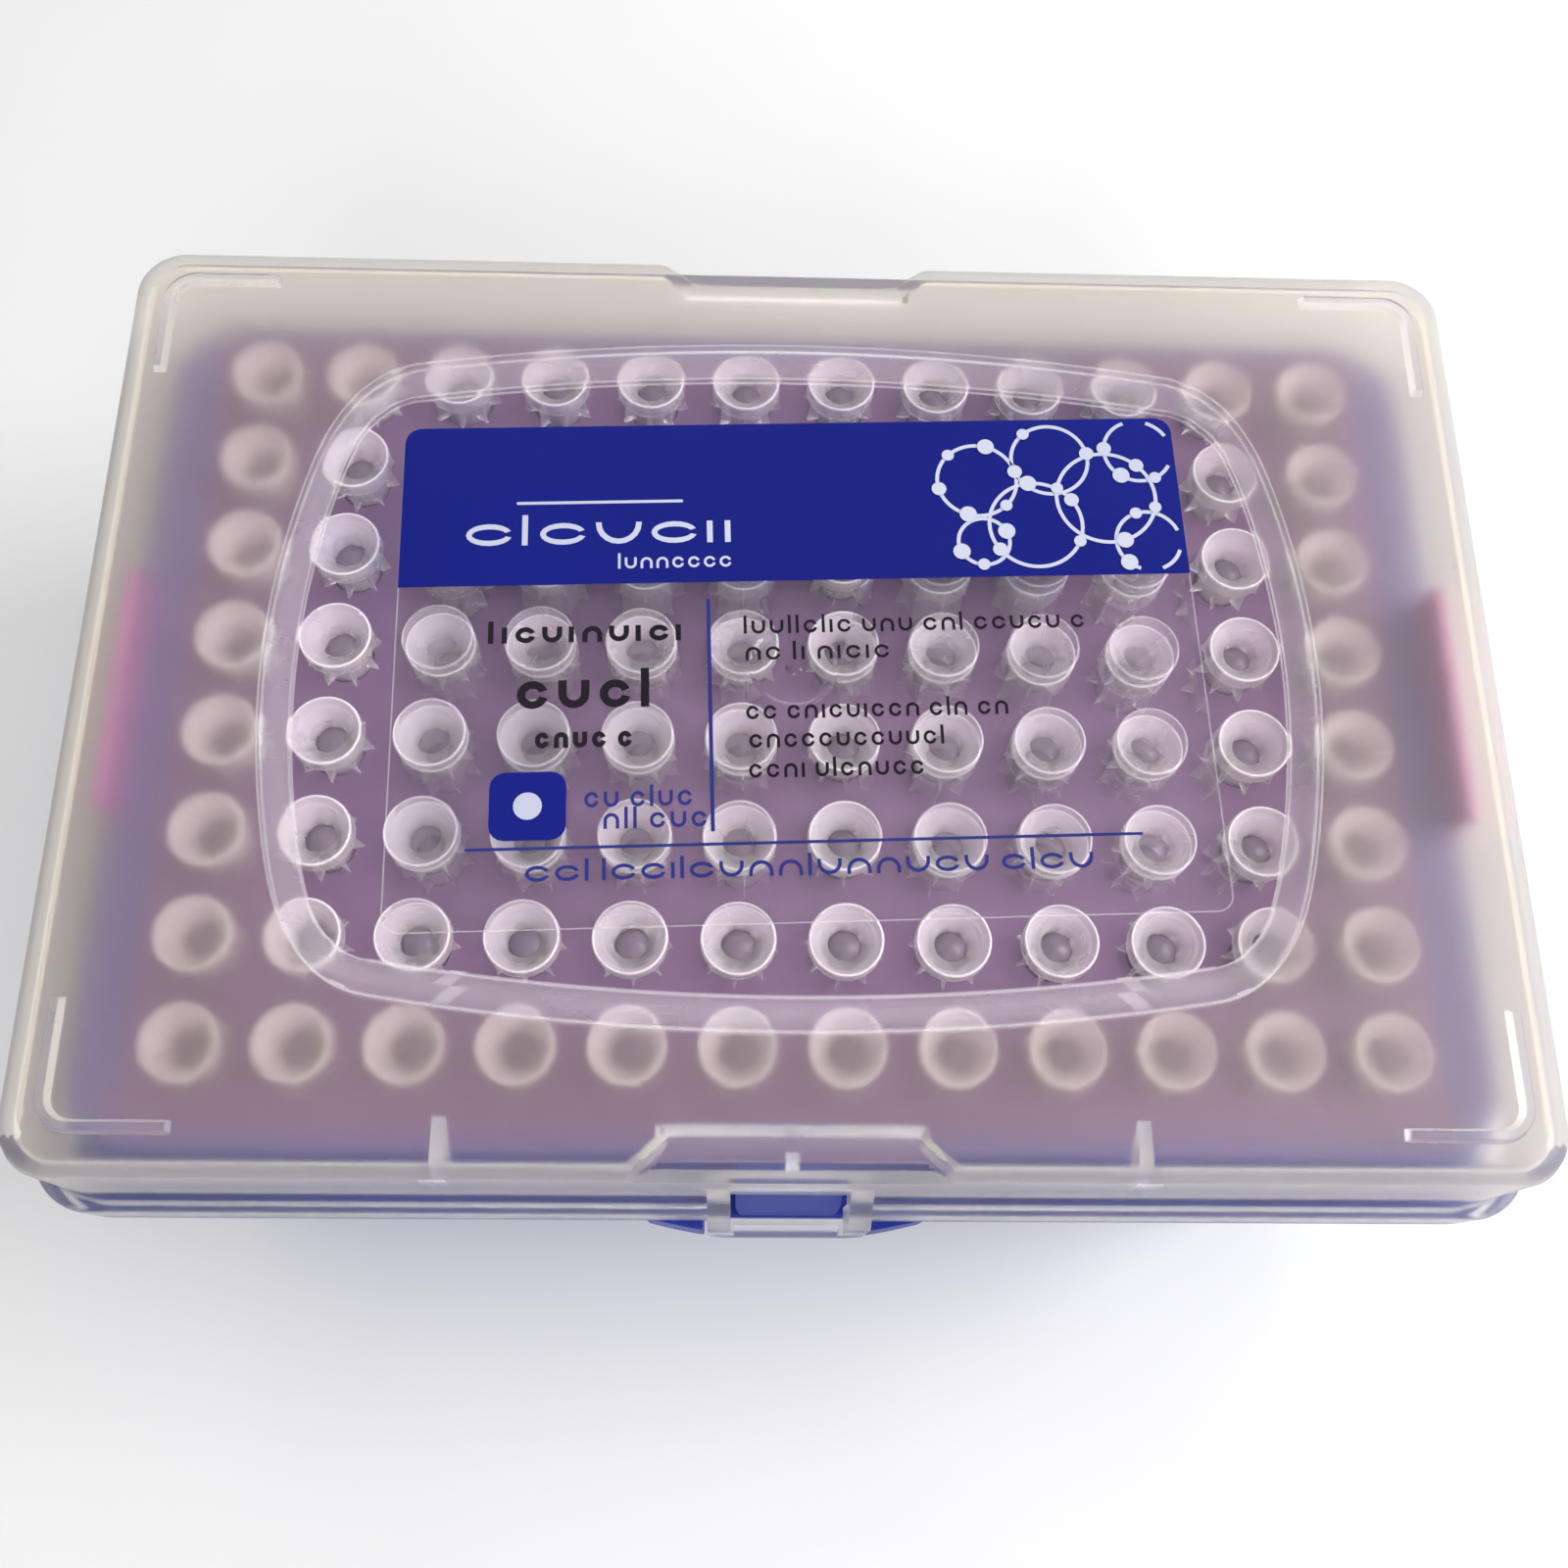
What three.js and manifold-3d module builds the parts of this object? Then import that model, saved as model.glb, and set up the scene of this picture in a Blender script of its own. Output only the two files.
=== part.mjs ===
// Hinged box of pipette tips: an opaque base, a colour-coded wafer that carries a 12 by 8 grid of long
// tips, a frosted lid with a sunk clear window and a front latch, and the label film on that window.
// Millimetres, +Z up. The origin is on the table under the middle of the box, the latch faces -Y and
// the lid turns about a hinge at the back.
import * as THREE from "three";
import { mergeVertices } from "three/addons/utils/BufferGeometryUtils.js";
import Module from "manifold-3d";

const wasm = await Module();
wasm.setup();

// ---- driving dimensions ----

// Tip grid
const PITCH = 9;
const COLUMNS = 12;
const ROWS = 8;

// Tip: a collar with a funnel mouth, a seat cone that sits in the wafer, a hub and a long thin shaft
const TIP_LENGTH = 45.5;
const COLLAR_RADIUS = 3.2;
const COLLAR_HEIGHT = 1.7;
const COLLAR_STAND = 5; // from the wafer's top face to the collar's rim
const RIM_WIDTH = 0.35;
const BORE_RADIUS = 1.7;
const FUNNEL_DEPTH = 2.4;
const SEAT_RADIUS = 2.3;
const HUB_RADIUS = 2.2;
const HUB_LENGTH = 16; // below the wafer
const NECK_RADIUS = 1.3;
const POINT_RADIUS = 0.45;
const TOP_SIDES = 8;
const SHAFT_SIDES = 5;

// Wafer
const WAFER_THICKNESS = 1.2;
const WAFER_GAP = 0.4; // to the base's rim all round
const WAFER_CORNER = 9;
const TAB_LENGTH = 22.6;
const TAB_DROP = 6.8;
const TAB_RISE = 4.6; // above the deck
const TAB_THICKNESS = 1.1;
const TAB_SET_BACK = 0.1; // behind the rim's outer face
const TAB_PLAY = 0.3;

// Base
const BASE_WALL = 1.6;
const FLOOR_THICKNESS = 1.3;
const FOOT_RECESS = 0.8;
const FOOT_WIDTH = 2.5;
const TIP_CLEARANCE = 4.4; // floor to the tips' points
const RIM_MARGIN_X = 10.4; // last tip centre to the rim's outer face
const RIM_MARGIN_Y = 8.4;
const RIM_HEIGHT = 9; // above the flange
const RIM_CORNER = 6;
const BASE_DRAFT = 1.6; // half-size lost between the rim and the foot
const FLANGE_THICKNESS = 2;
const FLANGE_SET_BACK = 0.3; // behind the lid's skirt
const SUPPORT_THICKNESS = 1.2;
const SUPPORT_REACH = 3; // ribs under the wafer, from the rim's inner face
const CORNER_POST = 4.2;

// Lid
const LID_WALL = 1.2;
const LID_GAP_X = 0.4; // lid's inner face to the rim
const LID_GAP_Y = 1.3; // larger, because the front wall swings about the hinge
const LID_DRAFT = 0.5;
const LID_CORNER = 4.5;
const TOP_FILLET = 1.5;
const HEADROOM = 1.9; // tips to the window's underside
const SEAT_GAP = 0.3; // skirt to flange
const SKIRT_HEIGHT = 5.5;
const SKIRT_LEDGE = 1.4;
const SKIRT_WALL = 1.1;
const SKIRT_CORNER = 5.5;

// Window sunk in the lid's top, an outline of four bulging sides with rounded corners
const WINDOW_DEPTH = 0.9;
const WINDOW_HALF_X = 42.95;
const WINDOW_HALF_Y = 28.95;
const WINDOW_BORDER_X = 2.45;
const WINDOW_BORDER_Y = 2.95;
const WINDOW_BULGE_X = 2.35;
const WINDOW_BULGE_Y = 2.65;
const WINDOW_CORNER_X = 8.95;
const WINDOW_CORNER_Y = 10.45;
const WINDOW_SHIFT_Y = 1;
const GATE_RADIUS = 3.9;
const GATE_DEPTH = 0.35;
const GATE_NUB_RADIUS = 0.7;

// Stacking ribs, one L at each corner of the lid
const STACK_RIB_HEIGHT = 0.8;
const STACK_RIB_WIDTH = 1.2;
const STACK_RIB_LENGTH = 10.5;
const STACK_RIB_INSET = 1.6; // inside the flat of the top

// Grip notches in the top's front and back edges
const NOTCH_DROP = 2.4;
const NOTCH_HALF_MOUTH = 13.6;
const NOTCH_HALF_FLOOR = 10.6;
const NOTCH_FLARE = 0.7; // how much wider the notch is at the top than at its floor, each side
const FRONT_NOTCH_DEPTH = 1.7;
const BACK_NOTCH_DEPTH = 1.3;
const NOTCH_WALL_LEAN = 1.1;
const GUSSET_X = 27.6;
const GUSSET_WIDTH = 1.1;
const GUSSET_REACH = 3.6;

// Latch: a loop on the lid that clips under a tongue on the base
const LATCH_WIDTH = 14.2;
const LATCH_LEG = 1.9;
const LATCH_PROUD = 1.1; // in front of the skirt
const LATCH_THICKNESS = 1.15;
const LATCH_DROP = 6; // below the skirt
const LATCH_BAR_HEIGHT = 5.5;
const LATCH_CORNER = 2;
const LEG_RISE = 12; // from the skirt's lower edge to the top of the legs' slope
const LEG_SHOULDER = 6; // from the skirt's lower edge to the slope's foot
const TONGUE_WIDTH = 9;
const TONGUE_TOP_OUT = 1.9; // from the rim's outer face
const TONGUE_FOOT_OUT = 3.95;
const TONGUE_RISE = 8.1;
const TONGUE_FOOT_LIFT = 0.7;
const APRON_HALF_WIDTH = 12.5;
const APRON_BULGE = 1.6; // in front of the flange
const APRON_HEIGHT = 8;
const APRON_WALL = 1.8;
const LATCH_PLAY = 0.5; // beside the latch, in the apron

// Hinge: lugs and pins on the base, clips on the lid
const HINGE_X = 36;
const HINGE_CLIP_WIDTH = 9;
const HINGE_SIDE_PLAY = 0.4;
const LUG_THICKNESS = 2;
const LUG_RADIUS = 2.1;
const CLIP_RADIUS = 2;
const PIN_RADIUS = 1;
const PIN_PLAY = 0.25;
const CLIP_MOUTH_DEG = 70;
const HINGE_SET_IN = 1; // axis in front of the skirt's back face

// Label film
const LABEL_LENGTH = 70;
const LABEL_DEPTH = 47;
const LABEL_THICKNESS = 0.2;
const LABEL_CORNER = 3;
const LABEL_X = 0.6;
const LABEL_Y = 0.6; // from the window's centre
const LABEL_TURN_DEG = 2.2;

// ---- heights and half-sizes that follow ----

const FLOOR_TOP = FOOT_RECESS + FLOOR_THICKNESS;
const TIP_POINT = FLOOR_TOP + TIP_CLEARANCE;
const TIP_TOP = TIP_POINT + TIP_LENGTH;
const DECK = TIP_TOP - COLLAR_STAND;
const WAFER_UNDER = DECK - WAFER_THICKNESS;
const FLANGE_TOP = DECK - RIM_HEIGHT;
const SKIRT_FOOT = FLANGE_TOP + SEAT_GAP;
const LEDGE = SKIRT_FOOT + SKIRT_HEIGHT;
const WINDOW_UNDER = TIP_TOP + HEADROOM;
const WINDOW_TOP = WINDOW_UNDER + LID_WALL;
const LID_TOP = WINDOW_TOP + WINDOW_DEPTH;
const CEILING = LID_TOP - LID_WALL;

const GRID_HALF = [((COLUMNS - 1) * PITCH) / 2, ((ROWS - 1) * PITCH) / 2];
const RIM_HALF = [GRID_HALF[0] + RIM_MARGIN_X, GRID_HALF[1] + RIM_MARGIN_Y];
const FOOT_HALF = grown(RIM_HALF, -BASE_DRAFT);
const LID_HALF = [RIM_HALF[0] + LID_GAP_X + LID_WALL, RIM_HALF[1] + LID_GAP_Y + LID_WALL];
const LEDGE_HALF = grown(LID_HALF, LID_DRAFT);
const SKIRT_HALF = grown(LEDGE_HALF, SKIRT_LEDGE);
const FLANGE_HALF = grown(SKIRT_HALF, -FLANGE_SET_BACK);
const FRONT = -SKIRT_HALF[1];
const HINGE_Y = SKIRT_HALF[1] - HINGE_SET_IN;
const HINGE_Z = FLANGE_TOP - LUG_RADIUS;

const CUT = 1; // how far a cutting solid runs past the face it cuts
const BITE = 0.2; // how far a joined solid reaches into its neighbour

// ---- small tools ----

function grown([x, y], by) {
  return [x + by, y + by];
}

// A closed geometry as a manifold solid.
function solid(geometry) {
  const bare = geometry.index ? geometry.toNonIndexed() : geometry.clone();
  for (const name of ["normal", "uv"]) bare.deleteAttribute(name);
  const merged = mergeVertices(bare, 1e-4);
  return new wasm.Manifold(
    new wasm.Mesh({
      numProp: 3,
      vertProperties: new Float32Array(merged.attributes.position.array),
      triVerts: new Uint32Array(merged.index.array),
    }),
  );
}

// The geometry of a manifold solid.
function geometryOf(made) {
  const mesh = made.getMesh();
  const geometry = new THREE.BufferGeometry();
  geometry.setAttribute("position", new THREE.BufferAttribute(mesh.vertProperties, 3));
  geometry.setIndex(new THREE.BufferAttribute(mesh.triVerts, 1));
  geometry.computeVertexNormals();
  return geometry;
}

const joined = (...solids) => wasm.Manifold.union(solids.flat());

// A box from its lowest to its highest corner.
function box(low, high) {
  const size = high.map((value, i) => value - low[i]);
  const centre = high.map((value, i) => (value + low[i]) / 2);
  return solid(new THREE.BoxGeometry(...size).translate(...centre));
}

// A solid through rings of equally many points, listed upwards; each ring is convex.
function loft(rings) {
  const count = rings[0].length;
  const points = rings.flat();
  const faces = [];
  for (let r = 0; r + 1 < rings.length; r++)
    for (let i = 0; i < count; i++) {
      const a = r * count + i;
      const b = r * count + ((i + 1) % count);
      faces.push(a, b, b + count, a, b + count, a + count);
    }
  const last = (rings.length - 1) * count;
  for (let i = 1; i + 1 < count; i++) {
    faces.push(0, i + 1, i);
    faces.push(last, last + i, last + i + 1);
  }
  const geometry = new THREE.BufferGeometry().setFromPoints(points);
  geometry.setIndex(faces);
  return solid(geometry);
}

// One rounded rectangle of half-size [x, y] at height z, with the same number of points at any size.
function roundedRing([halfX, halfY], radius, z, steps = 5) {
  const ring = [];
  for (let corner = 0; corner < 4; corner++) {
    const cx = (corner === 0 || corner === 3 ? 1 : -1) * (halfX - radius);
    const cy = (corner < 2 ? 1 : -1) * (halfY - radius);
    for (let i = 0; i <= steps; i++) {
      const angle = ((corner + i / steps) * Math.PI) / 2;
      ring.push(new THREE.Vector3(cx + radius * Math.cos(angle), cy + radius * Math.sin(angle), z));
    }
  }
  return ring;
}

const roundedBlock = (half, radius, low, high) =>
  loft([roundedRing(half, radius, low), roundedRing(half, radius, high)]);

// A Shape carried along Z from 0 to a depth.
const extruded = (shape, depth, curveSegments) =>
  new THREE.ExtrudeGeometry(shape, { depth, bevelEnabled: false, curveSegments });

// A profile of [y, z] points or a Shape, run along X between two places.
function alongX(profile, from, to) {
  const shape = profile instanceof THREE.Shape ? profile : shapeOf(profile);
  const geometry = extruded(shape, to - from, 8);
  const turn = new THREE.Matrix4().makeBasis(
    new THREE.Vector3(0, 1, 0),
    new THREE.Vector3(0, 0, 1),
    new THREE.Vector3(1, 0, 0),
  );
  return solid(geometry.applyMatrix4(turn).translate(from, 0, 0));
}

// A Shape in x and z, run along -Y from one place to another.
function alongMinusY(shape, from, to) {
  const geometry = extruded(shape, from - to, 3);
  return solid(geometry.rotateX(Math.PI / 2).translate(0, from, 0));
}

// A Shape in x and y, run upwards.
function upwards(shape, low, high, curveSegments = 8) {
  const geometry = extruded(shape, high - low, curveSegments);
  return solid(geometry.translate(0, 0, low));
}

const shapeOf = (points) => new THREE.Shape(points.map(([a, b]) => new THREE.Vector2(a, b)));

const mirroredX = (made) => made.mirror([1, 0, 0]);
const bothSides = (made) => joined(made, mirroredX(made));

// Centres of the tips, row by row.
function tipCentres() {
  const centres = [];
  for (let row = 0; row < ROWS; row++)
    for (let column = 0; column < COLUMNS; column++)
      centres.push([column * PITCH - GRID_HALF[0], row * PITCH - GRID_HALF[1]]);
  return centres;
}

// ---- tips and wafer ----

function lathe(profile, sides) {
  const points = profile.map(([r, z]) => new THREE.Vector2(r, z));
  return solid(new THREE.LatheGeometry(points, sides).rotateX(Math.PI / 2));
}

// The part of a tip above the wafer: seat cone, collar, rim and funnel down to the filter's face.
function tipMouth() {
  const collarFoot = TIP_TOP - COLLAR_HEIGHT;
  const inWafer = DECK - WAFER_THICKNESS / 2;
  return lathe(
    [
      [0, inWafer],
      [SEAT_RADIUS, inWafer],
      [SEAT_RADIUS, DECK],
      [COLLAR_RADIUS, collarFoot],
      [COLLAR_RADIUS, TIP_TOP],
      [COLLAR_RADIUS - RIM_WIDTH, TIP_TOP],
      [BORE_RADIUS, TIP_TOP - FUNNEL_DEPTH],
      [0, TIP_TOP - FUNNEL_DEPTH],
    ],
    TOP_SIDES,
  );
}

// The part of a tip below the wafer: hub and tapering shaft.
function tipShaft() {
  const inWafer = WAFER_UNDER + WAFER_THICKNESS / 4;
  const hubFoot = WAFER_UNDER - HUB_LENGTH;
  return lathe(
    [
      [0, TIP_POINT],
      [POINT_RADIUS, TIP_POINT],
      [NECK_RADIUS, hubFoot],
      [HUB_RADIUS, WAFER_UNDER],
      [HUB_RADIUS, inWafer],
      [0, inWafer],
    ],
    SHAFT_SIDES,
  );
}

// A tab that runs out over the side wall: it hangs down in its slot and stands up as a grip.
function waferTab(plateHalfX) {
  const face = RIM_HALF[0] - TAB_SET_BACK;
  const halfLength = TAB_LENGTH / 2;
  return joined(
    box([plateHalfX - BITE, -halfLength, WAFER_UNDER], [face, halfLength, DECK]),
    box([face - TAB_THICKNESS, -halfLength, DECK - TAB_DROP], [face, halfLength, DECK + TAB_RISE]),
  );
}

function tipWafer() {
  const half = grown(RIM_HALF, -BASE_WALL - WAFER_GAP);
  const plate = roundedBlock(half, WAFER_CORNER, WAFER_UNDER, DECK);
  const mouth = tipMouth();
  const shaft = tipShaft();
  const tips = tipCentres().flatMap(([x, y]) => [mouth.translate([x, y, 0]), shaft.translate([x, y, 0])]);
  return joined(plate, bothSides(waferTab(half[0])), tips);
}

// ---- base ----

// The outer body below and above the flange, one drafted form from foot to rim.
const baseBody = () =>
  loft([roundedRing(FOOT_HALF, RIM_CORNER - BASE_DRAFT, 0), roundedRing(RIM_HALF, RIM_CORNER, DECK)]);

// The hollow that the tips hang in, and the recess under the floor.
function baseHollow() {
  const top = grown(RIM_HALF, -BASE_WALL);
  const bottom = grown(FOOT_HALF, -BASE_WALL);
  const radius = RIM_CORNER - BASE_WALL;
  const lean = BASE_DRAFT / DECK; // per millimetre of height
  return loft([
    roundedRing(grown(bottom, FLOOR_TOP * lean), radius - BASE_DRAFT, FLOOR_TOP),
    roundedRing(grown(top, CUT * lean), radius, DECK + CUT),
  ]);
}

const footRecess = () =>
  roundedBlock(grown(FOOT_HALF, -FOOT_WIDTH), RIM_CORNER - FOOT_WIDTH, -CUT, FOOT_RECESS);

// Upright ribs and corner posts under the wafer's edge, trimmed to the body.
function waferSupports(body) {
  const [innerX, innerY] = grown(RIM_HALF, -BASE_WALL - SUPPORT_REACH);
  const low = FLOOR_TOP - BITE;
  const half = SUPPORT_THICKNESS / 2;
  const ribs = [];
  for (let column = 1; column < COLUMNS; column += 2)
    for (const side of [-1, 1]) {
      const x = (column - COLUMNS / 2) * PITCH;
      const y = side * (innerY + RIM_HALF[1]) / 2;
      const reach = (RIM_HALF[1] - innerY) / 2;
      ribs.push(box([x - half, y - reach, low], [x + half, y + reach, WAFER_UNDER]));
    }
  for (const gap of [2, ROWS - 2])
    for (const side of [-1, 1]) {
      const y = (gap - ROWS / 2) * PITCH;
      const x = side * (innerX + RIM_HALF[0]) / 2;
      const reach = (RIM_HALF[0] - innerX) / 2;
      ribs.push(box([x - reach, y - half, low], [x + reach, y + half, WAFER_UNDER]));
    }
  const [postX, postY] = grown(RIM_HALF, -BASE_WALL - CORNER_POST);
  for (const sideX of [-1, 1])
    for (const sideY of [-1, 1]) {
      const near = [sideX * postX, sideY * postY];
      const far = [sideX * RIM_HALF[0], sideY * RIM_HALF[1]];
      const lowest = [Math.min(near[0], far[0]), Math.min(near[1], far[1]), low];
      const highest = [Math.max(near[0], far[0]), Math.max(near[1], far[1]), WAFER_UNDER];
      ribs.push(box(lowest, highest));
    }
  return joined(ribs).intersect(body);
}

// Slots in the side walls that the wafer's tabs hang in.
function tabSlots() {
  const halfLength = TAB_LENGTH / 2 + TAB_PLAY;
  const low = DECK - TAB_DROP - TAB_PLAY;
  return bothSides(
    box([RIM_HALF[0] - BASE_WALL - CUT, -halfLength, low], [RIM_HALF[0] + CUT, halfLength, DECK + CUT]),
  );
}

const rimFrontY = -RIM_HALF[1];

// The ramp that passes through the lid's front slot and holds the latch bar down.
function tongue() {
  const foot = FLANGE_TOP + TONGUE_FOOT_LIFT;
  return alongX(
    [
      [rimFrontY + BASE_WALL / 2, foot],
      [rimFrontY - TONGUE_FOOT_OUT, foot],
      [rimFrontY - TONGUE_TOP_OUT, foot + TONGUE_RISE],
      [rimFrontY + BASE_WALL / 2, foot + TONGUE_RISE],
    ].reverse(),
    -TONGUE_WIDTH / 2,
    TONGUE_WIDTH / 2,
  );
}

// The swelling of the flange round the latch, hollow behind, with a recess that the latch bar hangs in.
function apron() {
  const back = -FOOT_HALF[1] + BASE_WALL / 2;
  const edge = -FLANGE_HALF[1];
  const low = FLANGE_TOP - APRON_HEIGHT;
  const plan = new THREE.Shape();
  plan.moveTo(-APRON_HALF_WIDTH, back);
  plan.lineTo(-APRON_HALF_WIDTH, edge);
  plan.quadraticCurveTo(0, edge - 2 * APRON_BULGE, APRON_HALF_WIDTH, edge);
  plan.lineTo(APRON_HALF_WIDTH, back);
  const recessHalf = LATCH_WIDTH / 2 + LATCH_PLAY;
  const hollowHalf = APRON_HALF_WIDTH - 2 * APRON_WALL;
  return upwards(plan, low, FLANGE_TOP, 10)
    .subtract(box([-recessHalf, edge - 2 * APRON_BULGE, low - CUT], [recessHalf, edge, FLANGE_TOP + CUT]))
    .subtract(
      box([-hollowHalf, edge + APRON_WALL, low - CUT], [hollowHalf, back, FLANGE_TOP - FLANGE_THICKNESS]),
    );
}

// One hinge on the base: two lugs with a pin between them, and the gap cut in the flange.
const HINGE_HALF_GAP = HINGE_CLIP_WIDTH / 2 + HINGE_SIDE_PLAY;

function lugProfile() {
  const wallY = FOOT_HALF[1];
  const profile = new THREE.Shape();
  profile.moveTo(wallY, FLANGE_TOP);
  profile.lineTo(wallY, HINGE_Z - 2 * LUG_RADIUS);
  profile.lineTo(HINGE_Y, HINGE_Z - LUG_RADIUS);
  profile.absarc(HINGE_Y, HINGE_Z, LUG_RADIUS, -Math.PI / 2, Math.PI / 2, false);
  return profile;
}

function hingeLugs() {
  const lugs = [-1, 1].map((side) => {
    const inner = HINGE_X + side * HINGE_HALF_GAP;
    const outer = inner + side * LUG_THICKNESS;
    return alongX(lugProfile(), Math.min(inner, outer), Math.max(inner, outer));
  });
  const pin = solid(
    new THREE.CylinderGeometry(PIN_RADIUS, PIN_RADIUS, 2 * HINGE_HALF_GAP + LUG_THICKNESS, 8)
      .rotateZ(Math.PI / 2)
      .translate(HINGE_X, HINGE_Y, HINGE_Z),
  );
  return bothSides(joined(lugs, pin));
}

const hingeGaps = () =>
  bothSides(
    box(
      [HINGE_X - HINGE_HALF_GAP, RIM_HALF[1], FLANGE_TOP - FLANGE_THICKNESS - CUT],
      [HINGE_X + HINGE_HALF_GAP, FLANGE_HALF[1] + CUT, FLANGE_TOP + CUT],
    ),
  );

function base() {
  const body = baseBody();
  const flange = roundedBlock(
    FLANGE_HALF,
    SKIRT_CORNER - FLANGE_SET_BACK,
    FLANGE_TOP - FLANGE_THICKNESS,
    FLANGE_TOP,
  ).subtract(hingeGaps());
  return joined(body, flange, apron(), tongue(), hingeLugs())
    .subtract(baseHollow())
    .subtract(footRecess())
    .add(waferSupports(body))
    .subtract(tabSlots());
}

// ---- lid ----

// The lid's outside: skirt, ledge, drafted wall and a rounded top edge.
function lidOutside() {
  const rings = [
    roundedRing(SKIRT_HALF, SKIRT_CORNER, SKIRT_FOOT),
    roundedRing(SKIRT_HALF, SKIRT_CORNER, LEDGE),
    roundedRing(LEDGE_HALF, LID_CORNER, LEDGE),
  ];
  for (const share of [0, 0.5, 1]) {
    const angle = (share * Math.PI) / 2;
    const inset = TOP_FILLET * (1 - Math.cos(angle));
    const z = LID_TOP - TOP_FILLET * (1 - Math.sin(angle));
    rings.push(roundedRing(grown(LID_HALF, -inset), LID_CORNER - inset, z));
  }
  return loft(rings);
}

// The lid's hollow, which steps out at the skirt.
function lidHollow() {
  const skirtInner = grown(SKIRT_HALF, -SKIRT_WALL);
  const wallFoot = grown(LEDGE_HALF, -LID_WALL);
  const wallTop = grown(LID_HALF, -LID_WALL);
  const radius = LID_CORNER - LID_WALL;
  const step = LEDGE - LID_WALL / 4;
  return loft([
    roundedRing(skirtInner, SKIRT_CORNER - SKIRT_WALL, SKIRT_FOOT - CUT),
    roundedRing(skirtInner, SKIRT_CORNER - SKIRT_WALL, step),
    roundedRing(wallFoot, radius, step),
    roundedRing(wallTop, radius, CEILING),
  ]);
}

// The window's outline at height z, grown by a share of the border: 0 is the clear pane's edge, 1 the rim.
function windowRing(border, z) {
  const halfX = WINDOW_HALF_X + border * WINDOW_BORDER_X;
  const halfY = WINDOW_HALF_Y + border * WINDOW_BORDER_Y;
  const cornerX = WINDOW_CORNER_X + border * WINDOW_BORDER_X;
  const cornerY = WINDOW_CORNER_Y + border * WINDOW_BORDER_Y;
  const a = new THREE.Vector2(halfX - cornerX, halfY - WINDOW_BULGE_Y);
  const b = new THREE.Vector2(halfX - WINDOW_BULGE_X, halfY - cornerY);
  const longControl = a.y + 2 * WINDOW_BULGE_Y;
  const sideControl = b.x + 2 * WINDOW_BULGE_X;
  // The corner's control point is where the two sides' end tangents cross.
  const longSlope = (a.y - longControl) / a.x;
  const sideSlope = (b.x - sideControl) / b.y;
  const cornerControlY = (a.y + longSlope * (b.x - sideSlope * b.y - a.x)) / (1 - longSlope * sideSlope);
  const cornerControlX = b.x + sideSlope * (cornerControlY - b.y);
  const outline = new THREE.Path();
  outline.moveTo(b.x, -b.y);
  outline.quadraticCurveTo(sideControl, 0, b.x, b.y);
  outline.quadraticCurveTo(cornerControlX, cornerControlY, a.x, a.y);
  outline.quadraticCurveTo(0, longControl, -a.x, a.y);
  outline.quadraticCurveTo(-cornerControlX, cornerControlY, -b.x, b.y);
  outline.quadraticCurveTo(-sideControl, 0, -b.x, -b.y);
  outline.quadraticCurveTo(-cornerControlX, -cornerControlY, -a.x, -a.y);
  outline.quadraticCurveTo(0, -longControl, a.x, -a.y);
  outline.quadraticCurveTo(cornerControlX, -cornerControlY, b.x, -b.y);
  const points = outline.getPoints(5).slice(0, -1);
  return points.map(({ x, y }) => new THREE.Vector3(x, y + WINDOW_SHIFT_Y, z));
}

const windowPan = () =>
  loft([windowRing(0, WINDOW_UNDER), windowRing(1, CEILING), windowRing(1, CEILING + LID_WALL / 2)]);

const windowCut = () =>
  loft([windowRing(0, WINDOW_TOP), windowRing(1, LID_TOP), windowRing(1, LID_TOP + CUT)]);

// The shallow moulding mark in the pane, a dish with a nub at its middle.
function gateDish() {
  const disc = (radius, low, high, sides) =>
    solid(
      new THREE.CylinderGeometry(radius, radius, high - low, sides)
        .rotateX(Math.PI / 2)
        .translate(0, WINDOW_SHIFT_Y, (low + high) / 2),
    );
  const floor = WINDOW_TOP - GATE_DEPTH;
  return disc(GATE_RADIUS, floor, WINDOW_TOP + CUT, 16).subtract(
    disc(GATE_NUB_RADIUS, floor - CUT, WINDOW_TOP - GATE_DEPTH / 3, 6),
  );
}

function stackRibs() {
  const half = grown(LID_HALF, -TOP_FILLET - STACK_RIB_INSET);
  const radius = LID_CORNER - TOP_FILLET;
  const inner = grown(half, -STACK_RIB_WIDTH);
  const top = LID_TOP + STACK_RIB_HEIGHT;
  const gapX = half[0] - STACK_RIB_LENGTH;
  const gapY = half[1] - STACK_RIB_LENGTH;
  return roundedBlock(half, radius, LID_TOP - BITE, top)
    .subtract(roundedBlock(inner, radius - STACK_RIB_WIDTH, LID_TOP - CUT, top + CUT))
    .subtract(box([-gapX, -LID_HALF[1], LID_TOP - CUT], [gapX, LID_HALF[1], top + CUT]))
    .subtract(box([-LID_HALF[0], -gapY, LID_TOP - CUT], [LID_HALF[0], gapY, top + CUT]));
}

// A grip notch as a solid at the front edge; grow makes it the wall that backs the notch.
function notchForm(depth, grow) {
  const floor = LID_TOP - NOTCH_DROP;
  const rise = NOTCH_DROP + CUT;
  const ring = (z) => {
    const share = (z - floor) / NOTCH_DROP;
    const flare = NOTCH_FLARE * share + grow;
    const mouthY = -LID_HALF[1] - CUT;
    const innerY = -LID_HALF[1] + depth + NOTCH_WALL_LEAN * share + grow;
    return [
      new THREE.Vector3(-NOTCH_HALF_MOUTH - flare, mouthY, z),
      new THREE.Vector3(NOTCH_HALF_MOUTH + flare, mouthY, z),
      new THREE.Vector3(NOTCH_HALF_FLOOR + flare, innerY, z),
      new THREE.Vector3(-NOTCH_HALF_FLOOR - flare, innerY, z),
    ];
  };
  return loft([ring(floor - grow), ring(floor + rise)]);
}

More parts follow.
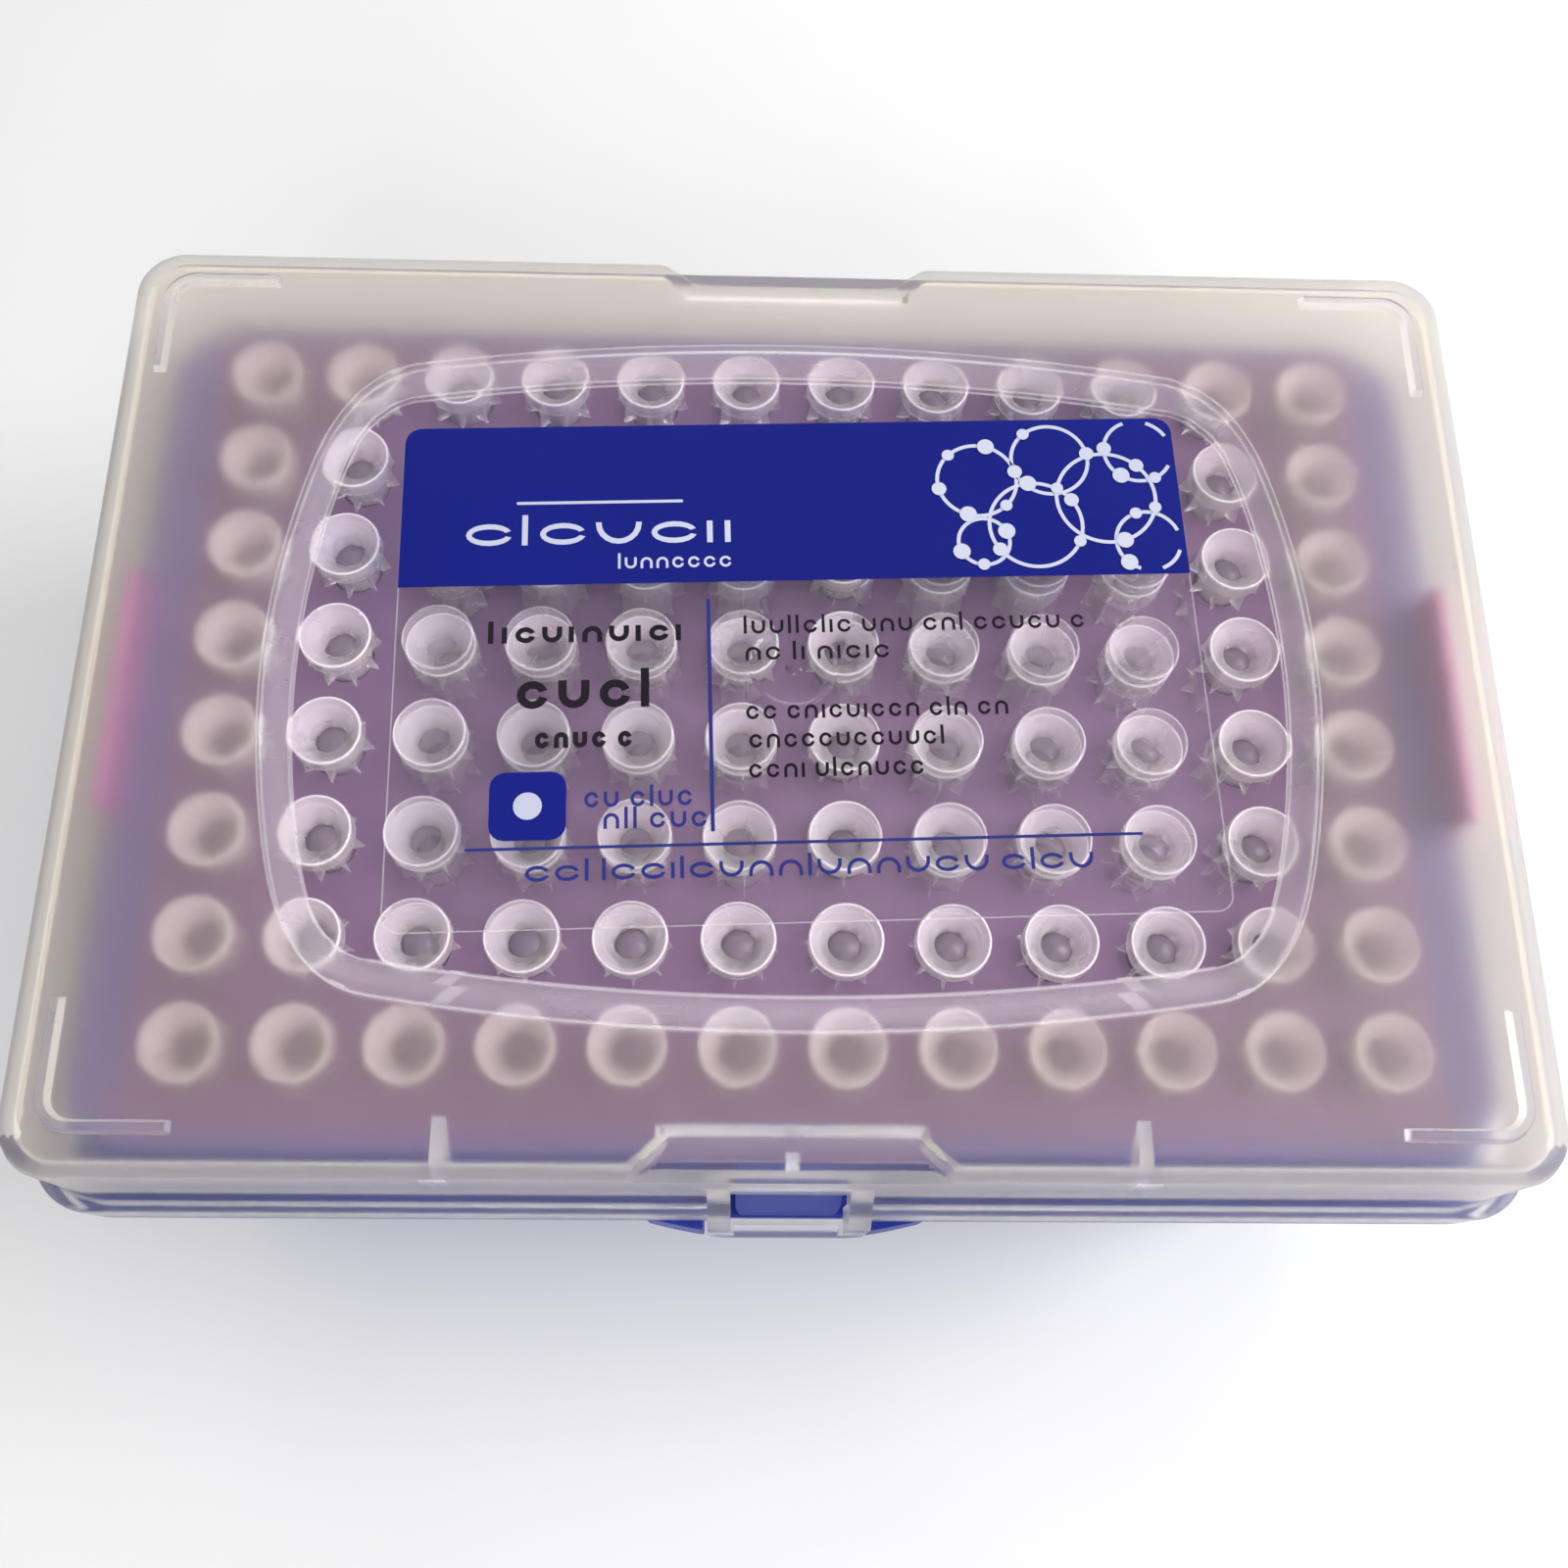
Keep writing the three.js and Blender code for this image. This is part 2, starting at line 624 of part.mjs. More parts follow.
const atBack = (made) => made.mirror([0, 1, 0]);

// A triangular web between the top and the front wall, inside the lid.
function gusset(x, top, reach) {
  const wallY = -LID_HALF[1] + LID_WALL / 2;
  const inner = -LID_HALF[1] + LID_WALL + reach;
  return alongX(
    [
      [wallY, top + BITE],
      [inner, top + BITE],
      [inner, top],
      [wallY, top - reach],
    ].reverse(),
    x - GUSSET_WIDTH / 2,
    x + GUSSET_WIDTH / 2,
  );
}

// The latch loop's front: a bar below and two legs, with rounded lower corners.
function latchLoop() {
  const half = LATCH_WIDTH / 2;
  const low = SKIRT_FOOT - LATCH_DROP;
  const high = SKIRT_FOOT + LEG_SHOULDER;
  const outline = new THREE.Shape();
  outline.moveTo(-half, high);
  outline.lineTo(-half, low + LATCH_CORNER);
  outline.quadraticCurveTo(-half, low, -half + LATCH_CORNER, low);
  outline.lineTo(half - LATCH_CORNER, low);
  outline.quadraticCurveTo(half, low, half, low + LATCH_CORNER);
  outline.lineTo(half, high);
  const face = FRONT - LATCH_PROUD;
  return alongMinusY(outline, face + LATCH_THICKNESS, face);
}

// One side of the loop above the skirt's edge: it leaves the wall on a slope.
function latchLeg() {
  const face = FRONT - LATCH_PROUD;
  const inWall = -LID_HALF[1] + LID_WALL / 3;
  const inSkirt = FRONT + SKIRT_WALL / 2;
  return alongX(
    [
      [inSkirt, SKIRT_FOOT],
      [face, SKIRT_FOOT],
      [face, SKIRT_FOOT + LEG_SHOULDER],
      [inWall, SKIRT_FOOT + LEG_RISE],
      [inWall - LID_DRAFT, LEDGE],
      [inSkirt, LEDGE],
    ].reverse(),
    LATCH_WIDTH / 2 - LATCH_LEG,
    LATCH_WIDTH / 2,
  );
}

function latchSlot() {
  const half = LATCH_WIDTH / 2 - LATCH_LEG;
  const low = SKIRT_FOOT - LATCH_DROP + LATCH_BAR_HEIGHT;
  const top = FLANGE_TOP + TONGUE_FOOT_LIFT + TONGUE_RISE + SEAT_GAP;
  return box([-half, FRONT - LATCH_PROUD - CUT, low], [half, -LID_HALF[1] + LID_WALL + LID_DRAFT, top]);
}

// A clip round the hinge pin, open below, and the arm that hangs it from the skirt.
function hingeClip() {
  const mouth = THREE.MathUtils.degToRad(CLIP_MOUTH_DEG / 2);
  const start = -Math.PI / 2 + mouth;
  const end = (3 * Math.PI) / 2 - mouth;
  const bore = PIN_RADIUS + PIN_PLAY;
  const ring = new THREE.Shape();
  ring.absarc(HINGE_Y, HINGE_Z, CLIP_RADIUS, start, end, false);
  ring.absarc(HINGE_Y, HINGE_Z, bore, end, start, true);
  const from = HINGE_X - HINGE_CLIP_WIDTH / 2;
  const to = HINGE_X + HINGE_CLIP_WIDTH / 2;
  const armTop = SKIRT_FOOT + BITE;
  const arm = box([from, SKIRT_HALF[1] - SKIRT_WALL, HINGE_Z + bore], [to, SKIRT_HALF[1], armTop]);
  return bothSides(joined(alongX(ring, from, to), arm));
}

function lid() {
  const outside = lidOutside();
  const frontPad = notchForm(FRONT_NOTCH_DEPTH, LID_WALL);
  const backPad = atBack(notchForm(BACK_NOTCH_DEPTH, LID_WALL));
  const shell = joined(
    outside.subtract(lidHollow()),
    joined(frontPad, backPad).intersect(outside),
    windowPan(),
    stackRibs(),
    bothSides(gusset(GUSSET_X, CEILING, GUSSET_REACH)),
    gusset(0, CEILING - NOTCH_DROP, FRONT_NOTCH_DEPTH),
    latchLoop(),
    bothSides(latchLeg()),
    hingeClip(),
  );
  return shell
    .subtract(windowCut())
    .subtract(gateDish())
    .subtract(joined(notchForm(FRONT_NOTCH_DEPTH, 0), atBack(notchForm(BACK_NOTCH_DEPTH, 0))))
    .subtract(latchSlot());
}

// ---- label ----

function label() {
  const half = [LABEL_LENGTH / 2, LABEL_DEPTH / 2];
  return roundedBlock(half, LABEL_CORNER, 0, LABEL_THICKNESS);
}

// ---- the assembly ----

const material = (color, roughness, opacity = 1) =>
  new THREE.MeshStandardMaterial({ color, roughness, metalness: 0, opacity, transparent: opacity < 1 });

function piece(name, made, finish) {
  const mesh = new THREE.Mesh(geometryOf(made), finish);
  mesh.name = name;
  return mesh;
}

const blueMoulding = material(0x2438a0, 0.45);
const magentaMoulding = material(0xb04a9c, 0.35, 0.85);
const frostedMoulding = material(0xd6d2cc, 0.5, 0.45);
const labelFilm = material(0x2a3aa8, 0.3, 0.9);

const tipBox = new THREE.Group();
const container = new THREE.Group();
container.add(piece("base", base(), blueMoulding));
container.add(piece("tip_wafer", tipWafer(), magentaMoulding));
const cover = new THREE.Group();
cover.add(piece("lid", lid(), frostedMoulding));
const film = piece("label", label(), labelFilm);
film.position.set(LABEL_X, WINDOW_SHIFT_Y + LABEL_Y, WINDOW_TOP);
film.rotation.z = THREE.MathUtils.degToRad(LABEL_TURN_DEG);
cover.add(film);
tipBox.add(container, cover);

export default tipBox;
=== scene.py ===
"""The looks of a hinged box of pipette tips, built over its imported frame.

Sizes in the classes are millimetres, in the frame's own axes: the origin is on the table under the middle
of the box, the latch faces -Y and +Z is up. Meshes are made in metres. Every solid is a stack of closed
rings, worked out as whole arrays and joined or cut where two mouldings meet.
"""
import sys

import logging
import math
from dataclasses import dataclass, field
from enum import Enum
from typing import Callable, Optional, Sequence, Union

import bpy
import numpy as np
from mathutils import Matrix, Vector

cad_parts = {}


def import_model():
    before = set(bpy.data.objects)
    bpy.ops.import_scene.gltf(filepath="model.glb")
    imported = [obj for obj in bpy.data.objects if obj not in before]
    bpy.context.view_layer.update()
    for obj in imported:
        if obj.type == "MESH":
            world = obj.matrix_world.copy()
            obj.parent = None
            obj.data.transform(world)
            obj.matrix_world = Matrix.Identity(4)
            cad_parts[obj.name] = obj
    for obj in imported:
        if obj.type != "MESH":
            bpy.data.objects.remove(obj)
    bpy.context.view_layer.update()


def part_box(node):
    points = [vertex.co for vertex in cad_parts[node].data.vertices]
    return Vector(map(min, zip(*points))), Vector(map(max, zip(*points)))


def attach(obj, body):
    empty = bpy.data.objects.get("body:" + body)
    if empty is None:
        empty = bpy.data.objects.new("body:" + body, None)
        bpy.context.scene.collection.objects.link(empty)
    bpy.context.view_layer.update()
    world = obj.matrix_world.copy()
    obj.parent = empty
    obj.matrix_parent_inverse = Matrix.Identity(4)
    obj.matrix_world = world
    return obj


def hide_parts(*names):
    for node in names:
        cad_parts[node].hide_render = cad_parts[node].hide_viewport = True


MM = 0.001
LEAST_RADIUS = 0.02  # the sharpest corner of a ring, in millimetres
Array = np.ndarray
Pair = tuple[float, float]
Triple = tuple[float, float, float]
Profile = Sequence[Pair]
Piece = bpy.types.Object
Node = bpy.types.Node
Socket = bpy.types.NodeSocket
Tree = bpy.types.NodeTree
Value = Union[float, tuple, Socket]

log = logging.getLogger("tip_box")


# ---- forms: closed surfaces as arrays ----


@dataclass
class Form:
    """A closed surface, or several: points in millimetres and polygons that name them.

    Attributes:
        points: One row of x, y, z for each point.
        polygons: Arrays of point numbers, one polygon a row; each array holds polygons of one size.
    """

    points: Array
    polygons: list[Array]

    def mesh(self, name: str) -> bpy.types.Mesh:
        """Writes the form to a new mesh in metres.

        Args:
            name: The mesh's name.

        Returns:
            The mesh.
        """
        corners = np.concatenate([p.ravel() for p in self.polygons]).astype(np.int32)
        sizes = np.concatenate([np.full(len(p), p.shape[1]) for p in self.polygons])
        starts = np.concatenate([[0], np.cumsum(sizes)[:-1]]).astype(np.int32)
        mesh = bpy.data.meshes.new(name)
        mesh.vertices.add(len(self.points))
        mesh.vertices.foreach_set("co", (self.points * MM).astype(np.float32).ravel())
        mesh.loops.add(len(corners))
        mesh.loops.foreach_set("vertex_index", corners)
        mesh.polygons.add(len(sizes))
        mesh.polygons.foreach_set("loop_start", starts)
        mesh.update(calc_edges=True)
        mesh.validate()
        return mesh

    def mirrored(self, axis: int) -> "Form":
        """Reflects the form through the origin's plane across an axis, and keeps its faces outward."""
        scale = np.ones(3)
        scale[axis] = -1.0
        return Form(self.points * scale, [p[:, ::-1] for p in self.polygons])

    def moved(self, shift: Array) -> "Form":
        """The form moved by x, y, z."""
        return Form(self.points + shift, self.polygons)

    def copies(self, places: Array, turns: Optional[Array] = None) -> "Form":
        """Repeats the form at many places, each turned by its own matrix.

        Args:
            places: One x, y, z for each copy.
            turns: One 3 by 3 matrix for each copy, or None to leave them unturned.

        Returns:
            One form that holds every copy.
        """
        turned = self.points[None] if turns is None else np.einsum("nij,pj->npi", turns, self.points)
        points = (turned + places[:, None, :]).reshape(-1, 3)
        shift = (np.arange(len(places)) * len(self.points))[:, None, None]
        polygons = [(p[None] + shift).reshape(-1, p.shape[1]) for p in self.polygons]
        return Form(points, polygons)


def gathered(forms: Sequence[Form]) -> Form:
    """Puts several forms into one, without joining their surfaces."""
    shifts = np.cumsum([0] + [len(f.points) for f in forms[:-1]])
    polygons = [p + s for f, s in zip(forms, shifts) for p in f.polygons]
    return Form(np.concatenate([f.points for f in forms]), polygons)


def stacked(rings: Array, looped: bool = False) -> Form:
    """Skins a stack of closed rings with four-sided faces.

    The rings run anticlockwise seen from ahead of the stack's direction, so faces point outwards. Each face
    takes points i and i + 1 of one ring and the same two of the next. The ends are closed by one polygon
    each, or the last ring is joined to the first.

    Args:
        rings: Points as rings by columns by 3.
        looped: Whether the last ring meets the first, as in a tube wall.

    Returns:
        The closed form.
    """
    rows, columns, _ = rings.shape
    near = np.arange(columns)
    far = (near + 1) % columns
    steps = np.arange(rows if looped else rows - 1)[:, None]
    low = steps * columns
    high = ((steps + 1) % rows) * columns
    quads = np.stack([low + near, low + far, high + far, high + near], -1).reshape(-1, 4)
    polygons = [quads]
    if not looped:
        polygons.append(np.stack([near[::-1], near + (rows - 1) * columns]))
    return Form(rings.reshape(-1, 3), polygons)


def area_of(profile: Array) -> float:
    """The signed area of a flat outline: half the sum of the cross products of its neighbours."""
    after = np.roll(profile, -1, axis=0)
    return 0.5 * float(np.sum(profile[:, 0] * after[:, 1] - after[:, 0] * profile[:, 1]))


class Run(Enum):
    """The way a flat outline is carried: its two in-plane axes and its travel axis."""

    X = (1, 2, 0)
    Y = (2, 0, 1)
    Z = (0, 1, 2)


def prism(outline: Union[Array, Profile], run: Run, start: float, end: float) -> Form:
    """Carries a flat outline straight along an axis.

    Args:
        outline: Points of the outline; for Run.X they are y, z, for Run.Y z, x and for Run.Z x, y.
        run: The axis.
        start: The lower end.
        end: The upper end.

    Returns:
        The closed form.
    """
    flat = np.asarray(outline, float)
    if area_of(flat) < 0:
        flat = flat[::-1]
    rings = np.empty((2, len(flat), 3))
    rings[..., run.value[:2]] = flat
    rings[..., run.value[2]] = [[start], [end]]
    return stacked(rings)


def block(low: Sequence[float], high: Sequence[float]) -> Form:
    """A block from its lowest to its highest corner."""
    (x0, y0, z0), (x1, y1, z1) = low, high
    return prism([(x0, y0), (x1, y0), (x1, y1), (x0, y1)], Run.Z, z0, z1)


def arc(centre: Pair, radius: float, start: float, end: float, steps: int) -> Array:
    """Points of a circular arc from one angle to another, in degrees."""
    angle = np.radians(np.linspace(start, end, steps + 1))
    return np.stack([centre[0] + radius * np.cos(angle), centre[1] + radius * np.sin(angle)], -1)


def rounded_foot(half: float, low: float, radius: float) -> Array:
    """The lower edge of an outline from left to right, with both its corners rounded."""
    left = arc((radius - half, low + radius), radius, 180, 270, 8)
    return np.concatenate([left, arc((half - radius, low + radius), radius, 270, 360, 8)])


def fillet(inset: float, height: float, radius: float, start: float, end: float, steps: int) -> Array:
    """A wall's rounded edge: angle 0 faces out and 90 up, and a radius below 0 rounds the far side."""
    return arc((0.0, 0.0), radius, start, end, steps) * (-1, 1) + (inset, height)


def lathed(profile: Union[Array, Profile], sides: int, looped: bool = True) -> Form:
    """Turns a profile of radius and height about the Z axis.

    Point j of ring i lies at the profile's radius i and the angle 2 pi j / sides.

    Args:
        profile: Radius and height, outside first and upwards.
        sides: How many columns go round.
        looped: Whether the profile closes on itself, as for a hollow wall.

    Returns:
        The closed form.
    """
    flat = np.asarray(profile, float)
    angle = np.arange(sides) * 2 * math.pi / sides
    radius, height = flat[:, :1], flat[:, 1:]
    places = np.broadcast_arrays(radius * np.cos(angle), radius * np.sin(angle), height)
    return stacked(np.stack(places, -1), looped)


def eased(share: Array, soft: float = 0.2) -> Array:
    """Rises from 0 to 1 on a straight slope with both ends rounded.

    The steepness grows over the first part `soft` of the way, holds, and falls over the last, so the height
    is a parabola, a line and a parabola.
    """
    t = np.clip(share, 0.0, 1.0)
    top = 1.0 / (1.0 - soft)
    start = top * t**2 / (2 * soft)
    end = 1 - top * (1 - t) ** 2 / (2 * soft)
    return np.where(t < soft, start, np.where(t > 1 - soft, end, top * (t - soft / 2)))


def softly(a: Array, b: Array, rounding: float, sign: float) -> Array:
    """The larger (sign 1) or smaller (sign -1) of two values, with their crossing rounded by a hyperbola."""
    return 0.5 * (a + b + sign * np.sqrt((a - b) ** 2 + rounding**2))


@dataclass(frozen=True)
class Perimeter:
    """Columns laid round a rounded rectangle, the same for any size of it.

    A point of the outline is its corner's or side's centre plus the radius along its normal. The centre is
    `side` times the half-size less the radius.

    Attributes:
        side: For each column, the centre as a share from -1 to 1 of the straight part in x and in y.
        normal: For each column, the outward direction.
    """

    side: Array
    normal: Array

    @classmethod
    def laid(cls, shares_x: Array, shares_y: Array, corner_steps: int) -> "Perimeter":
        """Lays the columns: right side, back, left side and front, with a corner after each.

        Args:
            shares_x: Columns of the front and back as shares between -1 and 1, ends left out.
            shares_y: Columns of the two sides, likewise.
            corner_steps: Steps round each corner.

        Returns:
            The perimeter.
        """
        sides, normals = [], []
        turn = np.radians(np.linspace(0, 90, corner_steps + 1))
        for quarter, corner in enumerate(((1, 1), (-1, 1), (-1, -1), (1, -1))):
            shares = shares_x if quarter % 2 else shares_y
            along = shares if quarter in (0, 3) else -shares
            fixed = np.full(len(along), 1 if quarter < 2 else -1)
            pair = (along, fixed) if quarter % 2 else (fixed, along)
            sides += [np.stack(pair, -1), np.tile(corner, (corner_steps + 1, 1))]
            facing = math.radians(90 * quarter) + np.concatenate([np.zeros(len(along)), turn])
            normals.append(np.stack([np.cos(facing), np.sin(facing)], -1))
        return cls(np.concatenate(sides), np.round(np.concatenate(normals), 12))

    @classmethod
    def plain(cls, corner_steps: int, straight: int) -> "Perimeter":
        """A perimeter with evenly spaced columns."""
        shares = np.linspace(-1, 1, straight + 2)[1:-1]
        return cls.laid(shares, shares, corner_steps)

    def rings(self, half: Pair, radius: float, profile: Union[Array, Profile]) -> Array:
        """Rings round the outline, one for each point of a wall's profile.

        Args:
            half: Half-size of the outline that the profile is measured from.
            radius: Its corner radius, which shrinks with the inset.
            profile: Inset and height of each ring.

        Returns:
            Points as rings by columns by 3.
        """
        flat = np.asarray(profile, float)
        inset = flat[:, :1, None]
        reach = np.maximum(radius - inset, LEAST_RADIUS)
        centre = self.side[None] * (np.asarray(half) - inset - reach)
        plan = centre + reach * self.normal[None]
        height = np.broadcast_to(flat[:, 1:, None], plan.shape[:2] + (1,))
        return np.concatenate([plan, height], -1)


# ---- the bench: joining, rounding and shading of meshes ----


class Join(Enum):
    """How one solid acts on another."""

    ADD = "UNION"
    CUT = "DIFFERENCE"
    TRIM = "INTERSECT"


class Bench:
    """Turns forms into objects, joins them and shades them."""

    @staticmethod
    def piece(form: Form, name: str) -> Piece:
        """Makes an object at the origin from a form.

        Args:
            form: The closed form.
            name: The object's name.

        Returns:
            The object, linked to the scene.
        """
        made = bpy.data.objects.new(name, form.mesh(name))
        bpy.context.scene.collection.objects.link(made)
        return made

    @staticmethod
    def settled(piece: Piece) -> None:
        """Bakes the object's modifiers into its mesh and takes them off."""
        graph = bpy.context.evaluated_depsgraph_get()
        baked = bpy.data.meshes.new_from_object(piece.evaluated_get(graph))
        old = piece.data
        piece.modifiers.clear()
        piece.data = baked
        bpy.data.meshes.remove(old)
        baked.name = piece.name

    @classmethod
    def act(cls, body: Piece, form: Form, how: Join, round_edges: float = 0.0) -> None:
        """Joins a form to a body, or cuts it out.

        Args:
            body: The object that changes.
            form: The form that acts on it.
            how: Join, cut or trim.
            round_edges: Radius of the form's own edges, rounded before it acts, or 0.
        """
        tool = cls.piece(form, body.name + "_tool")
        if round_edges:
            cls.rounded(tool, round_edges)
        cls.apply(body, tool, how)

    @classmethod
    def both(cls, body: Piece, form: Form, how: Join, round_edges: float = 0.0) -> None:
        """Lets a form and then its mirror image in x act on a body."""
        for side in (form, form.mirrored(0)):
            cls.act(body, side, how, round_edges)

    @classmethod
    def apply(cls, body: Piece, tool: Piece, how: Join) -> None:
        """Lets a tool object act on a body, and removes the tool.

        Args:
            body: The object that changes.
            tool: The object that acts on it.
            how: Join, cut or trim.
        """
        step = body.modifiers.new("join", "BOOLEAN")
        step.operation = how.value
        step.solver = "MANIFOLD"
        step.object = tool
        cls.settled(body)
        old = tool.data
        bpy.data.objects.remove(tool)
        bpy.data.meshes.remove(old)

    @classmethod
    def rounded(cls, piece: Piece, radius: float, steps: int = 3) -> None:
        """Rounds the sharp edges of a simple solid.

        Args:
            piece: The object.
            radius: Radius of its edges in millimetres.
            steps: Faces across each rounded edge.
        """
        bevel = piece.modifiers.new("round", "BEVEL")
        bevel.width = radius * MM
        bevel.segments = steps
        bevel.limit_method = "ANGLE"
        bevel.angle_limit = math.radians(35)
        bevel.use_clamp_overlap = True
        cls.settled(piece)

    @staticmethod
    def shaded(piece: Piece, crease: float = 32.0) -> None:
        """Shades a piece smooth, with creases over an angle in degrees and flat faces kept flat."""
        piece.data.polygons.foreach_set("use_smooth", np.ones(len(piece.data.polygons), bool))
        piece.data.set_sharp_from_angle(angle=math.radians(crease))
        level = piece.modifiers.new("level", "WEIGHTED_NORMAL")
        level.keep_sharp = True

    @staticmethod
    def centres(piece: Piece) -> Array:
        """The middle of every face, in millimetres."""
        found = np.empty(len(piece.data.polygons) * 3, np.float32)
        piece.data.polygons.foreach_get("center", found)
        return found.reshape(-1, 3) / MM

    @staticmethod
    def dressed(piece: Piece, finishes: Sequence["Plastic"],
                choice: Optional[Array] = None) -> None:
        """Gives a piece its finishes.

        Args:
            piece: The object.
            finishes: Its finishes in order.
            choice: For each face, the number of its finish; None gives all faces the first.
        """
        piece.data.materials.clear()
        for finish in finishes:
            piece.data.materials.append(finish.build())
        numbers = np.zeros(len(piece.data.polygons)) if choice is None else choice
        piece.data.polygons.foreach_set("material_index", numbers.astype(np.int32))


# ---- finishes ----


class Desk:
    """A node tree being laid out."""

    def __init__(self, tree: Tree) -> None:
        """Starts work on a tree."""
        self.tree = tree

    def add(self, kind: str, inputs: Optional[dict] = None, **settings: object) -> Node:
        """Adds a node.

        Args:
            kind: The node's type.
            inputs: Values or sockets for its inputs, by name or number.
            **settings: Properties of the node itself.

        Returns:
            The node.
        """
        node = self.tree.nodes.new(kind)
        for key, value in settings.items():
            setattr(node, key, value)
        for key, value in (inputs or {}).items():
            if isinstance(value, Socket):
                self.tree.links.new(value, node.inputs[key])
            else:
                node.inputs[key].default_value = value
        return node

    def ramp(self, value: Value, low: float, high: float, end: float = 1.0) -> Socket:
        """Rises smoothly from 0 to an end as a value goes from low to high."""
        node = self.add("ShaderNodeMapRange", interpolation_type="SMOOTHSTEP",
                        inputs={0: value, 1: low, 2: high, 3: 0.0, 4: end})
        return node.outputs[0]


class Effects:
    """Shader node groups that several finishes share."""

    @staticmethod
    def group(name: str, inputs: dict[str, Value], output: tuple[str, str],
              wired: Callable[[Desk, Node], Socket]) -> Tree:
        """Makes a group, or finds it.

        Args:
            name: The group's name.
            inputs: Values of its inputs by name, after its place; a tuple is a colour.
            output: Name and socket kind of its one output.
            wired: Lays the nodes out from the input node, and gives the socket of the result.

        Returns:
            The group.
        """
        found = bpy.data.node_groups.get(name)
        if found:
            return found
        made = bpy.data.node_groups.new(name, "ShaderNodeTree")
        made.interface.new_socket("Place", in_out="INPUT", socket_type="NodeSocketVector")
        for label, value in inputs.items():
            kind = "Color" if isinstance(value, tuple) else "Float"
            socket = made.interface.new_socket(label, in_out="INPUT", socket_type="NodeSocket" + kind)
            socket.default_value = value
        made.interface.new_socket(output[0], in_out="OUTPUT", socket_type="NodeSocket" + output[1])
        desk = Desk(made)
        desk.add("NodeGroupOutput", {0: wired(desk, desk.add("NodeGroupInput"))})
        return made

    @staticmethod
    def noise(desk: Desk, given: Node, detail: float,
              roughness: float = 0.5) -> Socket:
        """Noise at a group's own place and scale.

        Args:
            desk: The group's tree.
            given: The group's input node.
            detail: Octaves over the first.
            roughness: Weight of each octave against the one before.

        Returns:
            The noise's value.
        """
        node = desk.add("ShaderNodeTexNoise", {
            "Vector": given.outputs["Place"], "Scale": given.outputs["Scale"], "Detail": detail,
            "Roughness": roughness})
        return node.outputs[0]

    @classmethod
    def grain(cls) -> Tree:
        """Fine spark-eroded grain of a mould: noise as a height from 0 to 1."""
        return cls.group("mould_grain", {"Scale": 900.0}, ("Height", "Float"),
                         lambda desk, given: cls.noise(desk, given, 1.0, 0.6))

    @classmethod
    def drift(cls) -> Tree:
        """Slow change of tone through a moulding: a colour mixed with a second by broad noise.

        Returns:
            The group.
        """
        def wired(desk: Desk, given: Node) -> Socket:
            """Mixes the two colours."""
            share = desk.ramp(cls.noise(desk, given, 1.0), 0.35, 0.68)
            mix = desk.add("ShaderNodeMix", {"Factor": share, 6: given.outputs["Main"],
                                             7: given.outputs["Other"]}, data_type="RGBA")
            return mix.outputs[2]

        white = (1, 1, 1, 1)
        return cls.group("tone_drift", {"Scale": 30.0, "Main": white, "Other": white},
                         ("Colour", "Color"), wired)

    @classmethod
    def handling(cls) -> Tree:
        """Rubbed patches and fine scuffs from handling, as a roughness.

        Broad noise marks where the surface was rubbed; noise drawn out along X crosses it with hairlines.

        Returns:
            The group.
        """
        def wired(desk: Desk, given: Node) -> Socket:
            """Adds the hairlines to the patches and carries the sum to a roughness."""
            drawn = desk.add("ShaderNodeMapping", {
                "Vector": given.outputs["Place"], "Rotation": (0.3, 0.2, 0.5), "Scale": (40.0, 900.0, 900.0)})
            hair = desk.add("ShaderNodeTexNoise", {"Vector": drawn.outputs[0], "Scale": 1.0, "Detail": 1.0})
            lines = desk.ramp(hair.outputs[0], 0.62, 0.72, end=0.5)
            patch = desk.ramp(cls.noise(desk, given, 2.0), 0.38, 0.7)
            both = desk.add("ShaderNodeMath", {0: patch, 1: lines}, operation="ADD", use_clamp=True)
            level = desk.add("ShaderNodeMapRange", {0: both.outputs[0], 3: given.outputs["Clean"],
                                                    4: given.outputs["Rubbed"]})
            return level.outputs[0]

        return cls.group("handling_marks", {"Scale": 60.0, "Clean": 0.3, "Rubbed": 0.45},
                         ("Roughness", "Float"), wired)


